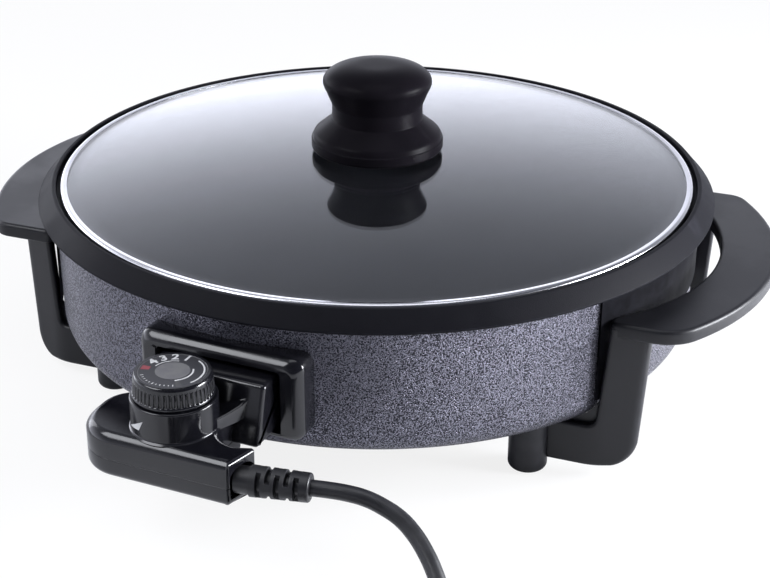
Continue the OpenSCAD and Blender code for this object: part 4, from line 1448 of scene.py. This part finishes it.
@dataclass
class Thermostat:
    """The plug-in thermostat: two glossy halves with neck, collar and gusset, and the strain relief."""

    layout: Layout
    body_top: float = 0.0659  # height of the body's top
    left: float = 0.05  # distance from the pan's axis plane to the body's left end
    right: float = 0.0365  # distance to its right end at the front
    back: float = 0.203  # distance of the body's back from the pan's axis
    tongue_back: float = 0.231  # distance of the tongue's back edge
    tongue_lean: float = 0.005  # how far the right end leans out
    waist: float = 0.0175  # X of the body's side behind the tongue
    neck_half: float = 0.032  # half the width of the neck
    neck_tip: float = 0.178  # distance of the neck's tip
    neck_front: float = 0.2035  # distance of the neck's front at its top
    neck_foot: float = 0.212  # distance of the neck's front at its foot
    neck_low: float = 0.0524  # height of the neck's underside
    collar_r: float = 0.0213  # radius of the collar
    collar_bore: float = 0.006  # radius of the collar's bore
    collar_top: float = 0.0819  # height of the collar's top
    relief_root: Vector = field(default_factory=lambda: Vector((0.039, -0.2405, 0.0534)))  # relief's start
    relief_boot: float = 0.0044  # distance from there to its full width
    relief_len: float = 0.033  # its length
    relief_r: float = 0.00775  # its radius
    relief_turn: float = 11.5  # its direction, in degrees from +X
    relief_slots: int = 5  # number of its slots
    slot_d: float = 0.0030  # their depth
    crease: float = 34.0  # edges that turn by more than this, in degrees, stay sharp

    def outline(self) -> list[Vector]:
        """The body from above: round left end, straight front and a tongue for the cord.

        Returns:
            Its points.
        """
        front = -self.layout.body_front
        return rounded([
            (-self.left, front, 0.022), (self.right, front, 0.0016),
            (self.right + self.tongue_lean, -self.tongue_back, 0.0016),
            (self.waist, -self.tongue_back, 0.014), (self.waist, -self.back, 0),
            (-self.left, -self.back, 0.018),
        ])

    def half_body(
        self, name: str, low: float, high: float, rounds: tuple[float, float], **more: object
    ) -> bpy.types.Object:
        """Makes one half of the body, with the arch-shaped recess round the relief's root in its right end.

        Args:
            name: its name.
            low: height of its lower face.
            high: height of its upper face.
            rounds: radius of its lower and upper edge.
            more: further settings of the prism.

        Returns:
            The half.
        """
        made, cut = MeshMaker(self.layout.axis), MeshMaker(self.layout.axis)
        made.prism(self.outline(), low, high, rounds, **more)
        half, foot, crown = 0.0078, -0.0074, 0.0084
        arch = rounded([
            (-half, foot, 0.0012), (half, foot, 0.0012), (half, crown, 0.0068), (-half, crown, 0.0068),
        ])
        place = Matrix.Translation(self.relief_root) @ about_z(self.relief_turn + 3.0) @ SIDEWAYS
        cut.prism(arch, -0.0042, 0.02, (0.0003, 0.0003), place)
        body = made.finish(name, self.crease)
        carve(body, cut.finish("recess_cutter"), self.crease)
        return body

    def build_upper(self) -> None:
        """Makes the upper half with its collar, neck and gusset."""
        lay = self.layout
        r, bore, low, high = self.collar_r, self.collar_bore, self.body_top, self.collar_top
        half = self.half_body(
            "thermostat_top", self.neck_low, low, (0.00035, 0.0046), steps=10, power=1.35,
            swell=lambda p: (1.0, 0.3 + 0.7 * clamp((self.right - p.x) / 0.0015)),
        )
        rest = MeshMaker(Vector())
        rest.bm.from_mesh(half.data)
        bpy.data.objects.remove(half)
        shift = Matrix.Translation(lay.axis)
        collar = rounded([
            (r + 0.0012, low - 0.0004, 0), (r, low + 0.0006, 0.001), (r, high, 0.0009),
            (bore, high, 0.0003), (bore, low, 0),
        ])
        rest.lathe(collar, 128, shift @ Matrix.Translation(lay.dial_at), wrap=True)
        side = rounded([
            (-self.neck_tip, self.neck_low, 0.001), (-self.neck_foot, self.neck_low, 0.001),
            (-self.neck_front, lay.neck_top, 0.0028), (-self.neck_tip, lay.neck_top, 0.001),
        ])
        rest.prism(side, -self.neck_half, self.neck_half, (0.0022, 0.0022), shift @ SIDEWAYS)
        self.add_gusset(rest)
        dress(rest.finish("thermostat_top", self.crease), Slot.GLOSS, Body.THERMOSTAT, ["upper_housing"])

    def add_gusset(self, made: MeshMaker) -> None:
        """Adds the web between collar and neck, whose ridge runs level and then sweeps up the neck.

        Args:
            made: the upper half's mesh, in the part's frame.
        """
        lay = self.layout
        toe = Vector((lay.dial_at.x + self.collar_r, lay.dial_at.y + 0.003))
        heel = Vector((self.neck_half - 0.0067, -self.neck_front + 0.001))
        ridge, shoulder = self.body_top + 0.005, self.body_top + 0.0085
        low = self.body_top - 0.001
        sweep = [
            (0.0, ridge), (0.35, ridge + 0.0007), (0.65, ridge + 0.0019), (0.82, shoulder),
            (0.9, shoulder + 0.0022), (0.96, shoulder + 0.0049), (1.0, lay.neck_top),
        ]
        edge = 0.0009
        loops = []
        for share, z in sweep:
            right = toe.lerp(heel, share)
            x, left = right.x, lay.dial_at.x
            section = [
                (left, low), (x, low), (x, z - edge), (x - 0.3 * edge, z - 0.3 * edge),
                (x - edge, z), (left, max(low + 0.0012, z - 0.009)),
            ]
            loops.append([Vector((px, right.y, pz)) for px, pz in section])
        made.skin(loops, Matrix.Translation(lay.axis), caps=True)

    def build_lower(self) -> None:
        """Makes the lower half."""
        lay = self.layout
        half = self.half_body("thermostat_base", lay.body_low, lay.body_seam, (0.0035, 0.00035), steps=6)
        dress(half, Slot.GLOSS, Body.THERMOSTAT, ["lower_housing"])

    def build_pointer(self) -> None:
        """Makes the white pointer printed on the collar, from angles in degrees and heights."""
        tip, upper, lower = Vector((-136.0, 0.0690)), Vector((-104.0, 0.0757)), Vector((-112.0, 0.0702))
        steps, sunk, raised = 12, -0.0003, 0.00015
        made = MeshMaker(self.layout.axis)
        loops = []
        for k in range(steps + 1):
            share = 0.02 + 0.98 * k / steps
            ends = tip.lerp(upper, share), tip.lerp(lower, share)
            corners = ((sunk, ends[0]), (raised, ends[0]), (raised, ends[1]), (sunk, ends[1]))
            points = [polar(self.collar_r + lift, math.radians(end.x), end.y) for lift, end in corners]
            loops.append([self.layout.dial_at + p for p in points])
        made.skin(loops, caps=True)
        dress(made.finish("collar_pointer"), Slot.PRINT, Body.THERMOSTAT, finish=WHITE_PRINT)

    def build_relief(self) -> None:
        """Makes the slotted strain relief, with slots on alternate sides and a ring at its end."""
        first, ring, root, tip_r = 0.0066, 0.0038, 0.003, 0.0012
        pitch = (self.relief_len - first - ring) / self.relief_slots
        slot_w = pitch * 0.56
        loops = []
        samples, around = 170, 72
        for i in range(samples + 1):
            s = -root + (self.relief_len + root) * i / samples
            taper = self.relief_r - 0.0007 * max(s, 0.0) / self.relief_len
            end = clamp((self.relief_len - s) / tip_r)
            radius = taper - tip_r * (1 - math.sqrt(1 - (1 - end) ** 2))
            if s < self.relief_boot:
                radius = self.relief_r - 0.001
            k = math.floor((s - first) / pitch)
            inside = (s - first) - k * pitch
            depth = 0.0
            if 0 <= k < self.relief_slots:
                wave = (inside - pitch / 2) / (slot_w / 2)
                depth = self.slot_d * max(0.0, 1 - wave**8) if abs(wave) < 1 else 0.0
            loop = []
            for j in range(around):
                a = 2 * math.pi * j / around
                lobe = abs(math.cos(a + math.pi / 2 * (k % 2)))
                mask = clamp((lobe - 0.42) / 0.16)
                r = radius - depth * mask * mask * (3 - 2 * mask)
                loop.append(Vector((s, r * math.cos(a), r * math.sin(a))))
            loops.append(loop)
        made = MeshMaker(self.layout.axis)
        made.skin(loops, Matrix.Translation(self.relief_root) @ about_z(self.relief_turn), caps=True)
        dress(made.finish("cord_relief", 50.0), Slot.CABLE, Body.THERMOSTAT, ["strain_relief"])

    def build(self) -> None:
        """Makes both halves, the pointer and the relief."""
        self.build_upper()
        self.build_lower()
        self.build_pointer()
        self.build_relief()


@dataclass
class Dial:
    """The ribbed dial with its printed plate."""

    layout: Layout
    ribs: int = 48  # number of ribs round the skirt
    rib_points: int = 10  # points in each rib
    rib_d: float = 0.00065  # depth of the grooves between them
    plate_r: float = 0.0175  # radius of the printed plate
    print_turn: float = 23.7  # turn of the print about the dial's axis, in degrees
    print_low: float = 0.00025  # distance of the plate's face below the dial's top
    print_sunk: float = 0.00005  # how far the print reaches into the plate
    print_t: float = 0.00004  # how far it stands out
    figures: tuple[tuple[str, float], ...] = (("4", 139.0), ("3", 115.0), ("2", 91.0), ("1", 65.0))
    figure_h: float = 0.0053  # height of a number

    def build_knob(self) -> None:
        """Makes the dial: a smooth foot, a ribbed skirt and a smooth shoulder round the plate."""
        lay = self.layout
        low, high, r, plate = lay.dial_low, lay.dial_top, lay.dial_r, self.plate_r
        count = self.ribs * self.rib_points
        levels = [
            (r - 0.0012, low, 0.0), (r - 0.0003, low + 0.0002, 0.0), (r, low + 0.0007, 0.0),
            (r, low + 0.0014, 0.0), (r - 0.0003, low + 0.0018, 0.0), (r - 0.0004, low + 0.0021, 1.0),
            (r - 0.0006, low + 0.005, 1.0), (r - 0.0008, low + 0.0078, 1.0),
            (r - 0.0009, low + 0.0083, 0.5), (r - 0.0009, low + 0.0087, 0.0),
        ]
        shoulder = rounded(
            [
                (r - 0.0009, low + 0.0087, 0), (r - 0.0014, high, 0.0022), (plate + 0.0004, high, 0.0003),
                (plate + 0.0002, high - 0.0009, 0.0002), (0.0, high - 0.0009, 0),
            ],
            closed=False,
        )
        levels += [(p.x, p.y, 0.0) for p in shoulder[1:]]
        loops = []
        for radius, z, cut in levels:
            loop = []
            for j in range(count):
                wave = abs((j % self.rib_points) / self.rib_points - 0.5) * 2
                groove = self.rib_d * cut * max(0.0, 1 - (wave / 0.62) ** 4) if wave < 0.62 else 0.0
                loop.append(lay.dial_at + polar(max(radius - groove, 0.0), 2 * math.pi * j / count, z))
            loops.append(loop)
        made = MeshMaker(lay.axis)
        made.skin(loops)
        made.bm.faces.new(list(reversed(made.bm.verts[:count])))
        dress(made.finish("dial_moulding", 40.0), Slot.GLOSS, Body.DIAL, ["dial_knob"])

    def build_plate(self) -> None:
        """Makes the plate, a thin disc with a fine raised ring."""
        r, top = self.plate_r, self.layout.dial_top - 0.00005
        profile = rounded(
            [
                (0.0, top - 0.0008, 0), (r, top - 0.0008, 0), (r, top, 0.00025), (r - 0.0007, top, 0.0001),
                (r - 0.0009, top - 0.0002, 0.0001), (0.0, top - 0.0002, 0),
            ],
            closed=False,
        )
        made = MeshMaker(self.layout.axis)
        made.lathe(profile, 128, Matrix.Translation(self.layout.dial_at))
        dress(made.finish("printed_plate", 30.0), Slot.PRINT, Body.DIAL, ["dial_plate"])

    def patch(self, made: MeshMaker, outline: Sequence[Vector]) -> None:
        """Adds a printed patch.

        Args:
            made: the print's mesh.
            outline: the patch's points about the dial's axis, before the print is turned.
        """
        z = self.layout.dial_top - self.print_low
        place = Matrix.Translation(self.layout.dial_at) @ about_z(self.print_turn)
        levels = (z - self.print_sunk, z + self.print_t)
        made.skin([[Vector((p.x, p.y, h)) for p in outline] for h in levels], place, caps=True)

    def stroke(self, made: MeshMaker, share: float, width: float, start: float, end: float) -> None:
        """Adds a printed arc.

        Args:
            made: the print's mesh.
            share: the arc's radius as a share of the plate's.
            width: its width.
            start: angle of its start, in degrees.
            end: angle of its end, in degrees.
        """
        radius = self.plate_r * share
        count = max(2, math.ceil(abs(end - start) / 4))
        outer = bow((0, 0), radius + width / 2, start, end, count)
        self.patch(made, outer + bow((0, 0), radius - width / 2, end, start, count))

    def figure(self, made: MeshMaker, text: str, angle: float) -> None:
        """Adds a printed number with its top outwards.

        Args:
            made: the print's mesh.
            text: the number.
            angle: its angle on the plate, in degrees.
        """
        curve = bpy.data.curves.new("figure", "FONT")
        curve.body = text
        curve.size = self.figure_h * 1.4
        curve.align_x = "CENTER"
        curve.align_y = "CENTER"
        curve.extrude = self.print_t
        curve.offset = 0.0002
        obj = linked("figure", curve)
        mesh = evaluated(obj)
        bpy.data.objects.remove(obj)
        bpy.data.curves.remove(curve)
        turn = angle + self.print_turn
        spot = polar(self.plate_r * 0.78, math.radians(turn), self.layout.dial_top - self.print_low)
        mesh.transform(Matrix.Translation(self.layout.dial_at + spot) @ about_z(turn - 90))
        made.bm.from_mesh(mesh)
        bpy.data.meshes.remove(mesh)

    def build_print(self) -> None:
        """Makes the white marks, the grey centre and the red mark."""
        white, grey, red = (MeshMaker(self.layout.axis) for _ in range(3))
        for text, angle in self.figures:
            self.figure(white, text, angle)
        self.stroke(white, 0.86, 0.0008, 41.0, -50.0)
        self.stroke(white, 0.56, 0.0005, 152.0, 78.0)
        self.stroke(white, 0.56, 0.0008, 10.0, -78.0)
        for k in range(11):
            self.stroke(white, 0.84, 0.0016 if k % 5 == 0 else 0.001, 196.0 + 8.0 * k, 197.6 + 8.0 * k)
        self.patch(grey, bow((0, 0), self.plate_r * 0.48, -self.print_turn, 352.5 - self.print_turn, 47))
        self.stroke(grey, 0.945, 0.0005, 0.0, 359.0)
        self.stroke(red, 0.77, 0.0042, 160.0, 175.0)
        dress(white.finish("plate_marks"), Slot.PRINT, Body.DIAL, finish=WHITE_PRINT)
        dress(grey.finish("plate_centre"), Slot.PRINT, Body.DIAL, finish=GREY_PRINT)
        dress(red.finish("plate_off_mark"), Slot.PRINT, Body.DIAL, finish=RED_PRINT)

    def build(self) -> None:
        """Makes the dial, its plate and the print."""
        self.build_knob()
        self.build_plate()
        self.build_print()


# The studio


@dataclass(frozen=True)
class Softbox:
    """A square-on studio lamp."""

    name: str
    azimuth: float  # direction from the pan, in degrees, as the camera's
    elevation: float  # height above the horizon, in degrees
    distance: float  # distance from the pan
    size: tuple[float, float]  # width and height
    power: float  # power in watts


@dataclass
class Studio:
    """Floor, lamps, world and camera."""

    axis: Vector  # the pan's axis on the table
    azimuth: float = 24.0  # the camera's direction from the pan, in degrees
    elevation: float = 21.71  # the camera's height above the horizon, in degrees
    distance: float = 0.98  # the camera's distance from the pan
    aim: float = 0.116  # height on the pan's axis that the direction is taken to
    yaw: float = -23.69  # the view's turn from +Y, in degrees
    pitch: float = 25.80  # the view's fall below the horizon, in degrees
    roll: float = -0.33  # the view's roll, in degrees
    focal_px: float = 1700.0  # focal length in pixels of the photograph
    frame_px: float = 770.0  # the photograph's width
    cove_azimuth: float = 248.0  # direction in which the cove is brightest, in degrees
    cove_falloff: float = 2.1  # how fast it darkens away from there
    cove_height: tuple[float, float] = (0.0, 0.66)  # heights between which it darkens upwards
    cove_levels: tuple[float, float] = (1.0, 0.19)  # its brightness at those heights
    cove_dark: Colour = (0.062, 0.068, 0.087)  # its darkest colour
    cove_bright: Colour = (3.2, 3.28, 3.7)  # its brightest colour
    floor_glow: float = 0.84  # share of plain white in what the camera sees of the floor
    floor_points: int = 64  # points round the floor
    lamp_aim: float = 0.08  # height on the pan's axis that the lamps face
    lamp_colour: Colour = (0.93, 0.95, 1.0)
    softboxes: tuple[Softbox, ...] = (
        Softbox("front_box", -42.0, 47.0, 1.5, (0.85, 0.55), 11.0),
        Softbox("left_box", -100.0, 18.0, 1.6, (0.5, 1.0), 4.0),
        Softbox("right_box", 103.0, 13.0, 0.95, (0.45, 0.3), 25.0),
        Softbox("top_box", 24.0, 86.0, 1.8, (1.2, 1.2), 7.0),
    )

    def bearing(self, azimuth: float, elevation: float) -> Vector:
        """Unit vector from the pan towards a direction."""
        a, e = math.radians(azimuth), math.radians(elevation)
        return Vector((math.sin(a) * math.cos(e), -math.cos(a) * math.cos(e), math.sin(e)))

    def build_camera(self) -> None:
        """Makes the camera at the photograph's place."""
        data = bpy.data.cameras.new("camera")
        data.sensor_fit = "HORIZONTAL"
        data.sensor_width = 36.0
        data.lens = self.focal_px / self.frame_px * data.sensor_width
        data.clip_start = 0.05
        camera = linked("camera", data)
        yaw, pitch, roll = (math.radians(v) for v in (self.yaw, self.pitch, self.roll))
        ahead = Vector((math.sin(yaw) * math.cos(pitch), math.cos(yaw) * math.cos(pitch), -math.sin(pitch)))
        right = Vector((math.cos(yaw), -math.sin(yaw), 0.0))
        up = right.cross(ahead)
        tilted = right * math.cos(roll) - up * math.sin(roll)
        upright = right * math.sin(roll) + up * math.cos(roll)
        back = self.bearing(self.azimuth, self.elevation)
        place = self.axis + Vector((0, 0, self.aim)) + back * self.distance
        turned = Matrix((tilted, upright, -ahead)).transposed().to_4x4()
        camera.matrix_world = Matrix.Translation(place) @ turned
        bpy.context.scene.camera = camera

    def build_lamps(self) -> None:
        """Makes the softboxes, each facing the pan."""
        target = self.axis + Vector((0, 0, self.lamp_aim))
        for box in self.softboxes:
            data = bpy.data.lights.new(box.name, "AREA")
            data.shape = "RECTANGLE"
            data.size, data.size_y = box.size
            data.energy = box.power
            data.color = self.lamp_colour
            lamp = linked(box.name, data)
            back = self.bearing(box.azimuth, box.elevation)
            turned = back.to_track_quat("Z", "Y").to_matrix().to_4x4()
            lamp.matrix_world = Matrix.Translation(target + back * box.distance) @ turned
            lamp.visible_camera = False

    def build_floor(self) -> None:
        """Makes the pale floor, which shows soft shadows."""
        made = MeshMaker(self.axis)
        n = self.floor_points
        radii = (0.2, 0.5, 1.0, 2.0, 4.0, 8.0)
        made.skin([[p.to_3d() for p in bow((0, 0), r, 0, 360 - 360 / n, n - 1)] for r in radii])
        made.bm.faces.new(made.bm.verts[:n])
        floor = made.finish("floor")
        material = bpy.data.materials.new("pale_floor")
        w = Wiring.afresh(material)
        noise = w.node("TexNoise", {"Scale": 6.0, "Detail": 3.0})
        pale = w.mix(noise.outputs[0], (0.86, 0.86, 0.87, 1), (0.88, 0.88, 0.88, 1))
        matte = w.node("BsdfDiffuse", {"Color": pale})
        glow = w.node("Emission", {"Color": (1, 1, 1, 1), "Strength": 1.0})
        seen = w.multiply(w.node("LightPath").outputs["Is Camera Ray"], self.floor_glow)
        both = w.node("MixShader", {0: seen, 1: matte.outputs[0], 2: glow.outputs[0]})
        w.node("OutputMaterial", {"Surface": both.outputs[0]})
        floor.data.materials.append(material)

    def build_world(self) -> None:
        """Makes the world: white to the camera, and a cove that is brightest low down behind the pan."""
        world = bpy.data.worlds.new("cove")
        bpy.context.scene.world = world
        w = Wiring.afresh(world)
        around = w.node("TexCoord").outputs["Generated"]
        height = w.node("SeparateXYZ", {0: around}).outputs[2]
        low_down = w.remap(height, self.cove_height, self.cove_levels)
        facing = tuple(self.bearing(self.cove_azimuth, 0.0))
        ahead = w.node("VectorMath", {0: around, 1: facing}, operation="DOT_PRODUCT")
        share = w.node("MapRange", {0: ahead.outputs["Value"], 1: -1.0, 2: 1.0, 3: 0.0, 4: 1.0})
        spread = w.node("Math", {0: share.outputs[0], 1: self.cove_falloff}, operation="POWER")
        level = w.multiply(low_down, spread.outputs[0])
        cove = w.mix(level, opaque(self.cove_dark), opaque(self.cove_bright))
        colour = w.mix(w.node("LightPath").outputs["Is Camera Ray"], cove, (1, 1, 1, 1))
        sky = w.node("Background", {"Color": colour, "Strength": 1.0})
        w.node("OutputWorld", {"Surface": sky.outputs[0]})

    def build(self) -> None:
        """Makes the whole studio."""
        bpy.context.scene.view_settings.view_transform = "Standard"
        self.build_camera()
        self.build_lamps()
        self.build_floor()
        self.build_world()


def dress_cad_nodes(frame: dict) -> None:
    """Gives every CAD node that stays shown the finish of its slot.

    Args:
        frame: the loaded frame.
    """
    for part in frame["record"]["subparts"]:
        node = frame["nodes"][part["node"]]
        if node.hide_render:
            continue
        node.data.materials.clear()
        node.data.materials.append(FINISHES[Slot(part["material_slot"])].material())
        LOG.info("CAD node %s in %s", part["node"], part["material_slot"])


def main() -> None:
    """Builds the object and its studio round the frame."""
    logging.basicConfig(level=logging.INFO, format="%(message)s")
    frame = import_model()
    layout = Layout.from_frame()
    Studio(layout.axis).build()
    MainsLead(layout.axis).build(frame["nodes"])
    pan = PanBody(layout)
    pan.build()
    Grips(layout, pan).build()
    Socket(layout, pan).build()
    Lid(layout).build()
    Thermostat(layout).build()
    Dial(layout).build()
    dress_cad_nodes(frame)
    bpy.context.view_layer.update()


if __name__ == "__main__":
    main()
